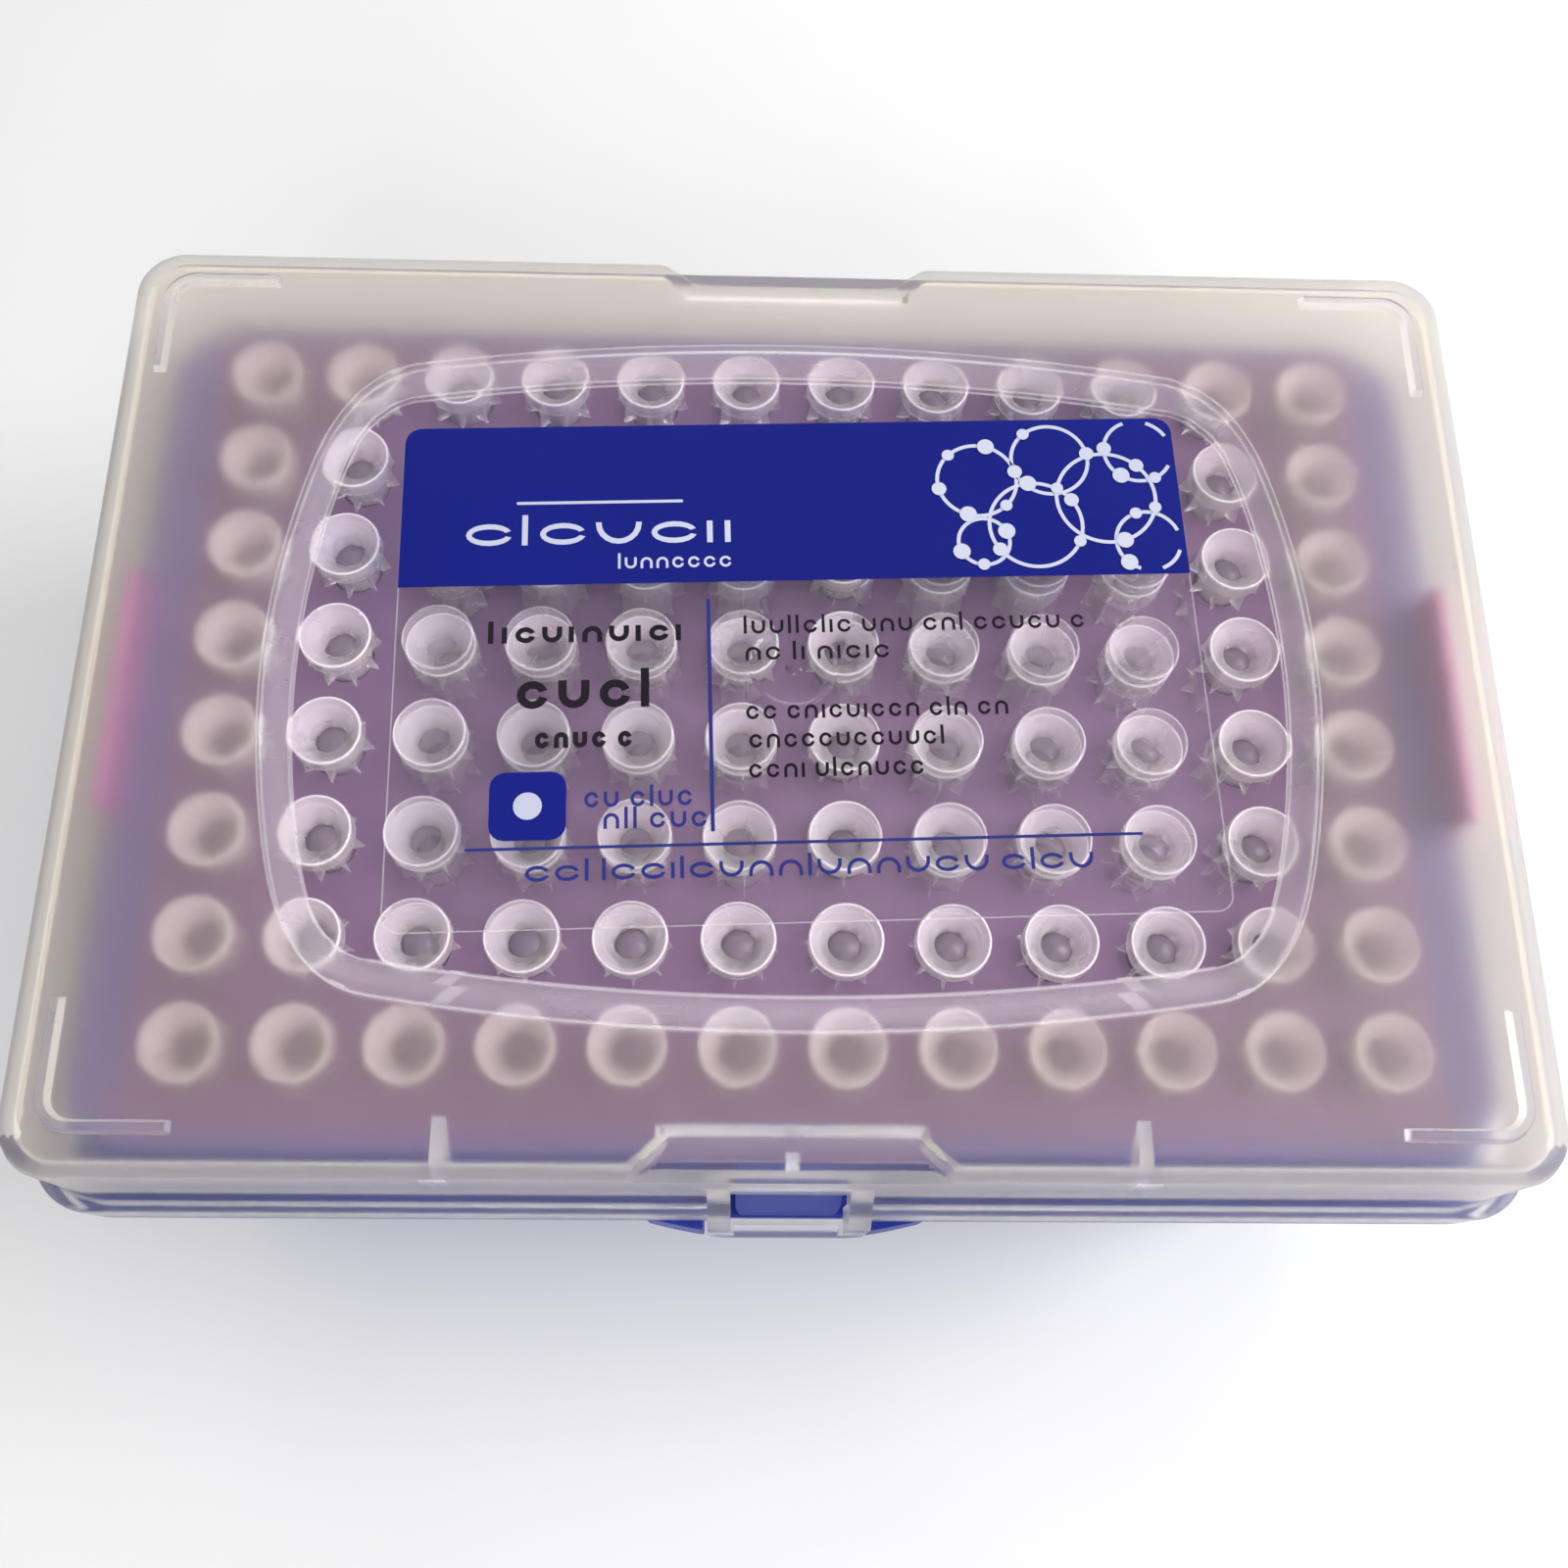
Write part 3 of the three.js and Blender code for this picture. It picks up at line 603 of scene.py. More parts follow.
@dataclass(frozen=True)
class Plastic:
    """One plastic finish.

    Attributes:
        name: The material's name.
        main: Its colour, linear.
        other: The colour that it drifts to.
        clean: Roughness where it is untouched.
        rubbed: Roughness where it is scuffed.
        grain: Depth of the mould's grain in millimetres.
        grain_scale: How many grains to a metre.
        through: Share of light that passes, as glass.
        index: Refractive index.
        alpha: Cover, for thin films.
        shade: Tint that it gives to light that falls through it, or None where it casts full shadow.
        coat: Weight of a gloss coat.
    """

    name: str
    main: Triple
    other: Triple
    clean: float
    rubbed: float
    grain: float = 0.0
    grain_scale: float = 900.0
    through: float = 0.0
    index: float = 1.49
    alpha: float = 1.0
    shade: Optional[Triple] = None
    coat: float = 0.0

    def build(self) -> bpy.types.Material:
        """Makes the material, or returns the one already made.

        Returns:
            A node material that reads Object coordinates.
        """
        found = bpy.data.materials.get(self.name)
        if found:
            return found
        made = bpy.data.materials.new(self.name)
        made.use_nodes = True
        made.node_tree.nodes.clear()
        desk = Desk(made.node_tree)
        place = desk.add("ShaderNodeTexCoord").outputs["Object"]
        drift = desk.add("ShaderNodeGroup", {"Place": place, "Main": (*self.main, 1),
                                             "Other": (*self.other, 1)}, node_tree=Effects.drift())
        marks = desk.add("ShaderNodeGroup", {"Place": place, "Clean": self.clean, "Rubbed": self.rubbed},
                         node_tree=Effects.handling())
        inputs = {"Base Color": drift.outputs[0], "Roughness": marks.outputs[0], "IOR": self.index,
                  "Transmission Weight": self.through, "Alpha": self.alpha, "Coat Weight": self.coat,
                  "Coat Roughness": 0.08}
        if self.grain:
            grain = desk.add("ShaderNodeGroup", {"Place": place, "Scale": self.grain_scale},
                             node_tree=Effects.grain())
            bump = desk.add("ShaderNodeBump", {"Height": grain.outputs[0], "Strength": 1.0,
                                               "Distance": self.grain * MM})
            inputs["Normal"] = bump.outputs[0]
        surface = desk.add("ShaderNodeBsdfPrincipled", inputs)
        if self.shade:
            light = desk.add("ShaderNodeLightPath").outputs["Is Shadow Ray"]
            clear = desk.add("ShaderNodeBsdfTransparent", {"Color": (*self.shade, 1)})
            surface = desk.add("ShaderNodeMixShader", {0: light, 1: surface.outputs[0], 2: clear.outputs[0]})
        desk.add("ShaderNodeOutputMaterial", {0: surface.outputs[0]})
        return made


BLUE_MOULDING = Plastic("blue_moulding", (0.016, 0.030, 0.270), (0.013, 0.026, 0.230), 0.40, 0.52,
                        grain=0.006, grain_scale=1400.0, index=1.22)
MAGENTA_MOULDING = Plastic("magenta_moulding", (0.200, 0.118, 0.216), (0.176, 0.104, 0.196), 0.34, 0.44,
                           grain=0.004, grain_scale=1200.0, index=1.40)
# Painted backlight: a lighter pink copy of the magenta moulding for the wafer's tabs, standing in for light
# shining through the thin tabs.
MAGENTA_GRIP_PAINTED_BACKLIGHT = Plastic("magenta_grip_painted_backlight", (0.400, 0.150, 0.340), (0.350, 0.130, 0.310), 0.34, 0.42,
                       grain=0.004, grain_scale=1200.0)
# Painted show-through: a bluer copy of the magenta moulding round the wafer's margin, standing in for the
# blue base seen through it.
MAGENTA_MARGIN_PAINTED_BLUE = Plastic("magenta_margin_painted_blue_through", (0.148, 0.113, 0.276), (0.131, 0.102, 0.248), 0.34, 0.44,
                         grain=0.004, grain_scale=1200.0, index=1.40)
NATURAL_TIP = Plastic("natural_tip", (0.88, 0.81, 0.86), (0.84, 0.77, 0.82), 0.26, 0.34, grain=0.002,
                      grain_scale=1500.0, through=0.72, index=1.16, shade=(0.96, 0.95, 0.96))
# Painted highlight: a whiter, less clear, glossier copy of the tip plastic on the rim's steps, where the real
# rim catches the light.
TIP_RIM_PAINTED_HIGHLIGHT = Plastic("tip_rim_painted_highlight", (0.98, 0.93, 0.95), (0.95, 0.90, 0.93), 0.20, 0.26, grain=0.001,
                   grain_scale=1500.0, through=0.40, index=1.35, shade=(0.96, 0.95, 0.96), coat=0.4)
# Partly painted shade: the filter is real, but this dark purple stands in for the shade of the deep bore, not
# the filter's own colour.
FILTER_PAINTED_BORE_SHADE = Plastic("barrier_filter_painted_shade", (0.175, 0.135, 0.180), (0.150, 0.115, 0.155), 0.36, 0.46,
                         grain=0.01, grain_scale=2600.0, coat=0.15)
FROSTED_LID = Plastic("frosted_moulding", (0.95, 0.91, 0.86), (0.93, 0.89, 0.84), 0.40, 0.45, grain=0.006,
                      grain_scale=1800.0, through=0.975, index=1.28, shade=(0.66, 0.65, 0.65), coat=0.1)
# Painted highlight: a lighter, more diffuse copy of the frost for the top's rounded edge, standing in for
# light caught along that edge.
FROSTED_CROWN_PAINTED_LIGHT = Plastic("frosted_crown_painted_light", (0.95, 0.91, 0.83), (0.93, 0.89, 0.81), 0.40, 0.45, grain=0.006,
                        grain_scale=1800.0, through=0.62, index=1.28, shade=(0.66, 0.65, 0.65))
# Partly painted shade: a clearer copy of the frost lets the blue base behind show through, and its greyer,
# bluer tint paints in the darker strip of the front ledge and the latch's lip.
FROSTED_LEDGE_PAINTED_SHADE = Plastic("frosted_ledge_painted_shade", (0.80, 0.79, 0.82), (0.77, 0.76, 0.80), 0.40, 0.46, grain=0.006,
                        grain_scale=1800.0, through=0.95, index=1.12, shade=(0.62, 0.62, 0.66))
# Painted highlight: a whiter, less clear, glossier copy of the lid's plastic, laid on thin lines where the
# real edges catch the light.
PAINTED_EDGE_HIGHLIGHT = Plastic("painted_edge_highlight", (0.97, 0.94, 0.95), (0.95, 0.92, 0.94), 0.20, 0.26, grain=0.002,
                     grain_scale=900.0, through=0.76, index=1.42, shade=(0.78, 0.77, 0.79), coat=0.5)
# The satin finish of the window's border; the same lighter, clearer copy also lightens the ribs' tops and the
# tips' fins as painted light.
SATIN_AND_PAINTED_LIGHT = Plastic("satin_border_and_painted_light", (0.95, 0.92, 0.94), (0.93, 0.90, 0.92), 0.26, 0.32, grain=0.003,
                       grain_scale=900.0, through=0.93, index=1.36, shade=(0.80, 0.79, 0.81), coat=0.3)
CLEAR_WINDOW = Plastic("clear_window", (0.97, 0.96, 0.97), (0.95, 0.94, 0.96), 0.05, 0.10, grain=0.002,
                       grain_scale=300.0, through=1.0, index=1.42, shade=(0.92, 0.91, 0.92))
CLEAR_FILM = Plastic("clear_film", (0.80, 0.80, 0.82), (0.76, 0.76, 0.80), 0.20, 0.30, alpha=0.008,
                     shade=(0.97, 0.97, 0.97))
# Painted highlight: a paler, less clear band along the label film's cut edge, standing in for light caught by
# the edge.
FILM_EDGE_PAINTED_HIGHLIGHT = Plastic("film_edge_painted_highlight", (0.88, 0.86, 0.90), (0.84, 0.82, 0.87), 0.20, 0.30, alpha=0.14,
                    shade=(0.97, 0.97, 0.97))
BLUE_INK = Plastic("blue_ink", (0.004, 0.009, 0.180), (0.005, 0.011, 0.200), 0.42, 0.50, index=1.22,
                   alpha=0.93, shade=(0.66, 0.67, 0.86))
BLACK_INK = Plastic("black_ink", (0.012, 0.009, 0.014), (0.016, 0.012, 0.018), 0.40, 0.48, index=1.2,
                    alpha=0.97)
LINE_INK = Plastic("line_ink", (0.020, 0.028, 0.190), (0.024, 0.032, 0.210), 0.40, 0.48, index=1.25,
                   alpha=0.92)
WHITE_INK = Plastic("white_ink", (0.56, 0.58, 0.70), (0.50, 0.52, 0.66), 0.40, 0.48, alpha=0.96)
FLOOR_PAPER = Plastic("floor_paper", (0.81, 0.81, 0.81), (0.80, 0.80, 0.80), 0.85, 0.92, index=1.3)


# ---- the frame's fixed places ----


LUG_BEYOND_SKIRT = 1.1  # how far the hinge lugs stand out behind the skirt, in millimetres


@dataclass(frozen=True)
class Datum:
    """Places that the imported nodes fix, and measures that two parts share, in millimetres."""

    deck: float
    tip_top: float
    tip_point: float
    flange_half: Pair
    skirt_half: Pair
    rib_top: float
    latch_face: float
    latch_low: float
    film_low: float
    film_high: float
    tab_face: float
    wafer: float = 1.2
    hinge_x: float = 36.0
    pin_in: float = 1.0

    @classmethod
    def read(cls) -> "Datum":
        """Reads the nodes' boxes.

        Returns:
            The places that the sub-assemblies are built from.
        """
        tray, lid, wafer, film = (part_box(n) for n in ("base", "lid", "tip_wafer", "label"))
        back = tray[1].y / MM - LUG_BEYOND_SKIRT
        set_back = (lid[1].x - tray[1].x) / MM
        return cls(
            deck=tray[1].z / MM,
            tip_top=wafer[1].z / MM,
            tip_point=wafer[0].z / MM,
            flange_half=(tray[1].x / MM, back - set_back),
            skirt_half=(lid[1].x / MM, back),
            rib_top=lid[1].z / MM,
            latch_face=lid[0].y / MM,
            latch_low=lid[0].z / MM,
            film_low=film[0].z / MM,
            film_high=film[1].z / MM,
            tab_face=wafer[1].x / MM,
        )


# ---- the lid ----


def shares_from(places: Sequence[Array], straight: float) -> Array:
    """Columns at given distances either side of the middle, as shares of a side's straight part.

    Args:
        places: Distances from the middle.
        straight: Half the length of the straight part.

    Returns:
        The shares in order, without the ends.
    """
    all_places = np.concatenate([np.asarray(p, float) for p in places])
    sides = np.concatenate([-all_places, all_places]) / straight
    return np.unique(np.round(sides[np.abs(sides) < 0.995], 5))


class Zone(Enum):
    """The lid's finishes, named for where they lie."""

    FROST = FROSTED_LID
    # the satin border, and the ribs' tops lightened as painted light
    SATIN = SATIN_AND_PAINTED_LIGHT
    PANE = CLEAR_WINDOW
    # painted highlight lines on the window's border and the front webs
    EDGE = PAINTED_EDGE_HIGHLIGHT
    # the front ledge and the latch's lip, partly painted shade
    LEDGE = FROSTED_LEDGE_PAINTED_SHADE
    # painted highlight on the top's rounded edge, apart from the front
    CROWN = FROSTED_CROWN_PAINTED_LIGHT


@dataclass
class Lid:
    """The frosted lid: skirt, drafted walls, sunk clear window, stack ribs, notches, latch and clips."""

    datum: Datum
    rib_height: float = 0.8
    rib_reach: float = 10.5
    rib_inset: float = 3.1
    rib_width: float = 1.2
    top_fillet: float = 1.5
    wall: float = 1.2
    skirt_wall: float = 1.1
    skirt_height: float = 5.5
    skirt_corner: float = 5.5
    wall_corner: float = 4.5
    flat_corner: float = 6.1
    ledge: float = 1.4
    draft: float = 0.5
    latch_drop: float = 6.0
    window_depth: float = 0.9
    window_half: Pair = (42.95, 28.95)
    window_border: Pair = (2.45, 2.95)
    window_bulge: Pair = (2.35, 2.65)
    window_corner: Pair = (8.95, 10.45)
    window_shift: float = 1.0
    border_steps: tuple[float, ...] = (1.15, 1.04, 1.0, 0.96, 0.9, 0.83, 0.75, 0.62, 0.5, 0.38, 0.25, 0.17,
                                       0.1, 0.04, 0.0, -0.04, -0.12)
    notch_drop: float = 2.4
    notch_mouth: float = 13.6
    notch_floor: float = 10.6
    notch_flare: float = 0.7
    notch_lean: float = 1.6
    notch_depths: Pair = (1.7, 1.3)
    latch_width: float = 13.6
    latch_leg: float = 1.9
    latch_thickness: float = 1.45
    latch_corner: float = 2.4
    bar_height: float = 5.5
    leg_shoulder: float = 6.0
    leg_rise: float = 12.0
    slot_rise: float = 8.8
    gate_radius: float = 3.9
    gusset_x: float = 27.6
    gusset_half: float = 0.55
    gusset_reach: float = 3.6
    nub_at: Pair = (2.1, 3.3)  # in from the front wall and down from the ceiling
    nub_half: Pair = (0.8, 0.85)
    hinge_width: float = 9.0
    clip_radius: float = 2.0
    clip_bore: float = 1.25
    # height of the front ledge's band that takes the painted shade
    ledge_band: float = 1.0
    # the window border's two painted highlight lines
    painted_highlight_lines: tuple[Pair, ...] = ((0.985, 0.05), (0.02, 0.045))  # share and half-width of each
    # where the top's rounded edge takes the painted highlight
    crown: Triple = (0.7, 0.55, 3.0)  # beyond the wall, down from the ceiling and in from the front
    pin_below_foot: float = 2.4

    def __post_init__(self) -> None:
        """Works out the heights and half-sizes that follow."""
        self.top = self.datum.rib_top - self.rib_height
        self.ceiling = self.top - self.wall
        self.foot = self.datum.latch_low + self.latch_drop
        self.slot_low = self.datum.latch_low + self.bar_height
        self.slot_half = self.latch_width / 2 - self.latch_leg
        self.ledge_z = self.foot + self.skirt_height
        skirt = self.datum.skirt_half
        self.ledge_half = (skirt[0] - self.ledge, skirt[1] - self.ledge)
        self.top_half = (self.ledge_half[0] - self.draft, self.ledge_half[1] - self.draft)
        self.front_y = -self.top_half[1]
        straight = (self.top_half[0] - self.flat_corner, self.top_half[1] - self.flat_corner)
        short = self.rib_inset + self.rib_reach
        rib_end = (self.top_half[0] - short, self.top_half[1] - short)
        near_rib = np.array([-0.6, -0.25, -0.12, 0.0, 0.12, 0.25, 0.6])
        self.perimeter = Perimeter.laid(
            shares_from([np.arange(0, 9.6, 1.6), np.arange(9.6, 14.9, 0.2), np.arange(16, 54, 2.0),
                         rib_end[0] + near_rib], straight[0]),
            shares_from([np.arange(0, 36, 2.0), rib_end[1] + near_rib], straight[1]),
            16,
        )
        self.rib_end = rib_end
        self.pin = (skirt[1] - self.datum.pin_in, self.foot - self.pin_below_foot)
        self.clip_run = tuple(self.datum.hinge_x + side * self.hinge_width / 2 for side in (-1, 1))

    def window_outline(self, border: float) -> Array:
        """The window's outline, grown by a share of its border.

        Four parabolic arcs bulge along the sides and four more turn the corners, each a quadratic curve
        whose control point is where its neighbours' end tangents cross. The second half is the first turned
        half way round.

        Args:
            border: 0 at the clear pane's edge and 1 at the rim.

        Returns:
            Points round the window, anticlockwise from the right side.
        """
        half, corner = (
            [a + border * b for a, b in zip(pair, self.window_border)]
            for pair in (self.window_half, self.window_corner)
        )
        ax, ay = half[0] - corner[0], half[1] - self.window_bulge[1]
        bx, by = half[0] - self.window_bulge[0], half[1] - corner[1]
        long_y, side_x = ay + 2 * self.window_bulge[1], bx + 2 * self.window_bulge[0]
        long_slope, side_slope = (ay - long_y) / ax, (bx - side_x) / by
        control_y = (ay + long_slope * (bx - side_slope * by - ax)) / (1 - long_slope * side_slope)
        control_x = bx + side_slope * (control_y - by)
        knots = [
            ((bx, -by), (side_x, 0), (bx, by)),
            ((bx, by), (control_x, control_y), (ax, ay)),
            ((ax, ay), (0, long_y), (-ax, ay)),
            ((-ax, ay), (-control_x, control_y), (-bx, by)),
        ]
        t = np.linspace(0, 1, 120, endpoint=False)[:, None]
        curves = [(1 - t) ** 2 * np.array(p) + 2 * t * (1 - t) * np.array(q) + t**2 * np.array(r)
                  for p, q, r in knots]
        half_way = np.concatenate(curves)
        return np.concatenate([half_way, -half_way])

    def window_rings(self, borders: Sequence[float], floor: float) -> Array:
        """Rings of the window at several shares of the border, risen from its floor by the eased depth.

        Each column keeps the scaled angle that it has on the lid's top, and the outline is looked up there.

        Args:
            borders: Shares of the border, below 0 for the pane and above 1 for the flat top.
            floor: Height of the pane.

        Returns:
            Points as rings by columns by 3.
        """
        rim = self.perimeter.rings(self.top_half, self.flat_corner, [(5.5, 0.0)])[0]
        scale = np.array([self.top_half[0] - 5.5, self.top_half[1] - 5.5])
        wanted = np.arctan2(rim[:, 1] / scale[1], rim[:, 0] / scale[0])
        rings = []
        for border in borders:
            outline = self.window_outline(border)
            angle = np.arctan2(outline[:, 1] / scale[1], outline[:, 0] / scale[0])
            plan = [np.interp(wanted, angle, side, period=2 * math.pi) for side in outline.T]
            height = floor + self.window_depth * float(eased(np.array(border), 0.22))
            rings.append(np.stack([plan[0], plan[1] + self.window_shift, np.full(len(wanted), height)], -1))
        return np.array(rings)

    def notched(self, rings: Array, grow: float) -> Array:
        """Presses the grip notches into rings of the lid's top and wall.

        At a point the notch's height is its floor plus the drop times how far the point lies beyond the
        floor's outline, measured against the lean of the nearest wall. The surface takes the lower of that
        and its own height.

        Args:
            rings: Points of the surface.
            grow: 0 for the outside, the wall's thickness for the inside.

        Returns:
            The rings with their heights changed.
        """
        x, y, z = rings[..., 0], rings[..., 1], rings[..., 2]
        floor = self.top - self.notch_drop - grow
        out = z.copy()
        for sign, depth in zip((-1, 1), self.notch_depths):
            inward = self.top_half[1] - sign * y
            back = (inward - depth - grow) / self.notch_lean
            along = np.clip((inward + 1) / (depth + 1), 0, 1.6)
            flank = self.notch_mouth + (self.notch_floor - self.notch_mouth) * along + grow
            side = (np.abs(x) - flank) / self.notch_flare
            beyond = softly(softly(back, side, 0.12, 1), np.zeros_like(side), 0.12, 1)
            notch = floor + self.notch_drop * beyond
            touched = notch < z + 3
            out = np.where(touched, softly(out, notch, 0.22 if grow == 0 else 0.1, -1), out)
        return np.stack([x, y, out], -1)

    def rib_rise(self, inset: Array, rings: Array) -> Array:
        """Height of the stack ribs: a rounded plateau across the inset, cut off along both sides.

        Args:
            inset: Distance of each ring from the top's outline.
            rings: Points of the flat top.

        Returns:
            What to add to each point's height.
        """
        slope, early, late = 0.3, 0.02, 0.28
        rise = eased((inset - self.rib_inset + early) / slope, 0.45)
        fall = eased((inset - self.rib_inset - self.rib_width + late) / slope, 0.45)
        ends = [eased((np.abs(rings[..., k]) - self.rib_end[k] + slope / 2) / slope, 0.4) for k in (0, 1)]
        return self.rib_height * (rise * (1 - fall))[:, None] * ends[0] * ends[1]

    def outer_rings(self) -> Array:
        """The outside from the skirt's foot to the pane's edge.

        Returns:
            Points as rings by columns by 3.
        """
        lay = self.perimeter
        skirt = np.concatenate([
            fillet(0.3, self.foot + 0.3, 0.3, -90, 0, 4),
            [(0.0, self.foot + 2), (0.0, self.ledge_z - 2)],
            fillet(0.55, self.ledge_z - 0.55, 0.55, 0, 90, 6),
        ])
        fillet_foot = self.top - self.top_fillet
        heights = np.array([0.0, 0.1, 0.35, 1.5, 3, 5, 7, 8.4, 9.0, 9.3, 9.5, 9.7, 9.85, 10.05, 10.35])
        share = heights / (fillet_foot - self.ledge_z)
        flare = np.array([-0.4, -0.12, 0.0] + [0.0] * (len(heights) - 3))
        wall = np.stack([share * self.draft + flare, self.ledge_z + heights], -1)
        crown = fillet(self.top_fillet, fillet_foot, self.top_fillet, 0, 90, 9)
        across = np.array([-0.06, 0, 0.06, 0.12, 0.2, 0.3, 0.45, 0.6, 0.75, 0.9, 1.0, 1.06, 1.12, 1.18, 1.24,
                           1.32])
        inset = np.concatenate([np.arange(1.56, 2.98, 0.11), self.rib_inset + across, [4.7, 5.1, 5.5]])
        flat = lay.rings(self.top_half, self.flat_corner,
                         np.stack([inset, np.full(len(inset), self.top)], -1))
        flat[..., 2] += self.rib_rise(inset, flat)
        window = self.window_rings(self.border_steps, self.top - self.window_depth)
        between = flat[-1] + np.array([0.3, 0.6])[:, None, None] * (window[0] - flat[-1])
        upper = np.concatenate([
            lay.rings(self.ledge_half, self.wall_corner, wall),
            lay.rings(self.top_half, self.wall_corner, crown[1:]),
            flat,
        ])
        return np.concatenate([
            lay.rings(self.datum.skirt_half, self.skirt_corner, skirt),
            self.notched(upper, 0.0),
            between,
            window,
        ])

    def inner_rings(self) -> Array:
        """The inside from the pane's underside to the skirt's foot.

        Returns:
            Points as rings by columns by 3.
        """
        lay = self.perimeter
        window = self.window_rings(self.border_steps[::-1], self.ceiling - self.window_depth)
        inset = np.concatenate([[5.5, 5.0], np.arange(4.7, 1.75, -0.15)])
        ceiling = lay.rings(self.top_half, self.flat_corner,
                            np.stack([inset, np.full(len(inset), self.ceiling)], -1))
        cove = fillet(self.wall + 0.5, self.ceiling - 0.5, 0.5, 90, 0, 4)
        step = self.ledge_z - self.wall / 4
        heights = np.array([54.0, 53.6, 53.2, 52.8, 52.6, 52.4, 52.2, 51.9, 51.4, 50, 48, 46, 44.5, step])
        share = (self.ceiling - heights) / (self.ceiling - step)
        wall = np.stack([self.wall - self.draft * share, heights], -1)
        skirt = np.concatenate([
            [(self.skirt_wall, step), (self.skirt_wall, step - 0.4), (self.skirt_wall, self.foot + 1)],
            fillet(self.skirt_wall - 0.3, self.foot + 0.3, -0.3, 0, 90, 3),
        ])
        between = window[-1] + np.array([0.4, 0.7])[:, None, None] * (ceiling[0] - window[-1])
        wall_rings = lay.rings(self.top_half, self.wall_corner, np.concatenate([cove, wall]))
        return np.concatenate([
            window,
            between,
            self.notched(np.concatenate([ceiling, wall_rings]), self.wall),
            lay.rings(self.datum.skirt_half, self.skirt_corner, skirt),
        ])

    def latch(self) -> Piece:
        """The latch loop: a front plate with rounded lower corners and two legs that slope off the wall.

        Returns:
            An object of the joined and rounded loop, not yet part of the lid.
        """
        half = self.latch_width / 2
        low, face = self.datum.latch_low, self.datum.latch_face
        shoulder = self.foot + self.leg_shoulder
        bar = rounded_foot(half, low, self.latch_corner)
        outline = np.concatenate([[(-half, shoulder)], bar, [(half, shoulder)]])
        loop = Bench.piece(prism(outline[:, ::-1], Run.Y, face, face + self.latch_thickness), "latch")
        in_wall = self.front_y + self.wall / 3
        in_skirt = -self.datum.skirt_half[1] + self.skirt_wall / 2
        side = [(in_skirt, self.foot), (face, self.foot), (face, shoulder),
                (in_wall, self.foot + self.leg_rise), (in_wall - self.draft, self.ledge_z),
                (in_skirt, self.ledge_z)]
        leg = prism(side, Run.X, half - self.latch_leg, half)
        Bench.both(loop, leg, Join.ADD)
        slot_half, slot_low = self.slot_half, self.slot_low
        slot = block((-slot_half, face - 1, slot_low), (slot_half, face + 8, shoulder + 12))
        Bench.act(loop, slot, Join.CUT)
        lip = [(face - 1, slot_low + 0.5), (face + 0.8, slot_low + 0.5), (face + 0.8, slot_low - 0.1),
               (face + 0.02, low + 1.1), (face - 1, low + 1.1)]
        Bench.act(loop, prism(lip, Run.X, 0.3 - slot_half, slot_half - 0.3), Join.CUT)
        Bench.rounded(loop, radius=0.28)
        return loop

    def clip(self) -> Form:
        """A hinge clip: an open ring about the hinge axis."""
        outer = arc(self.pin, self.clip_radius, -50, 230, 28)
        inner = arc(self.pin, self.clip_bore, 230, -50, 28)
        return prism(np.concatenate([outer, inner]), Run.X, *self.clip_run)

    def clip_arm(self) -> Form:
        """The arm between a hinge clip and the skirt."""
        skirt_y = self.datum.skirt_half[1]
        start, end = self.clip_run
        return block((start, skirt_y - self.skirt_wall, self.pin[1] + self.clip_bore),
                     (end, skirt_y, self.foot + 0.3))

    def gusset(self, x: float, top: float, reach: float) -> Form:
        """A triangular web between the top and the front wall.

        Args:
            x: Its middle.
            top: Height of the surface that it hangs from.
            reach: How far it runs in and down.

        Returns:
            The closed form.
        """
        wall_y = self.front_y + self.wall / 2
        inner = self.front_y + self.wall + reach
        side = [(wall_y, top + 0.2), (inner, top + 0.2), (inner, top), (wall_y, top - reach)]
        return prism(side, Run.X, x - self.gusset_half, x + self.gusset_half)

    def gate(self) -> Form:
        """The cutter for the moulding mark: a shallow dish whose middle leaves a nub."""
        floor = self.top - self.window_depth - 0.35
        above = floor + 1.5
        profile = [(0.02, floor + 0.26), (0.45, floor + 0.25), (0.62, floor + 0.16), (0.78, floor + 0.02),
                   (1.2, floor), (self.gate_radius - 0.9, floor + 0.02),
                   (self.gate_radius - 0.35, floor + 0.12), (self.gate_radius, floor + 0.35),
                   (self.gate_radius + 0.1, above), (0.02, above)]
        return lathed(profile, sides=48, looped=False).moved((0, self.window_shift, 0))

    def build(self) -> Piece:
        """Builds the lid and gives it frosted and clear finishes, with painted highlight and painted shade
        zones.

        Returns:
            The finished piece.
        """
        shell = stacked(np.concatenate([self.inner_rings(), self.outer_rings()]))
        lid = Bench.piece(shell, "lid_shell")
        Bench.act(lid, self.gate(), Join.CUT)
        webs = ((self.gusset_x, self.ceiling, self.gusset_reach),
                (-self.gusset_x, self.ceiling, self.gusset_reach),
                (0.0, self.ceiling - self.notch_drop, self.notch_depths[0]))
        for x, top, reach in webs:
            Bench.act(lid, self.gusset(x, top, reach), Join.ADD)
        Bench.apply(lid, self.latch(), Join.ADD)
        slot = block((-self.slot_half, self.datum.latch_face - 1, self.slot_low),
                     (self.slot_half, self.front_y + self.wall + self.draft, self.foot + self.slot_rise))
        Bench.act(lid, slot, Join.CUT)
        for form in (self.clip(), self.clip_arm()):
            Bench.both(lid, form, Join.ADD)
        Bench.shaded(lid)
        Bench.dressed(lid, [zone.value for zone in Zone], self.zones(Bench.centres(lid)))
        return lid

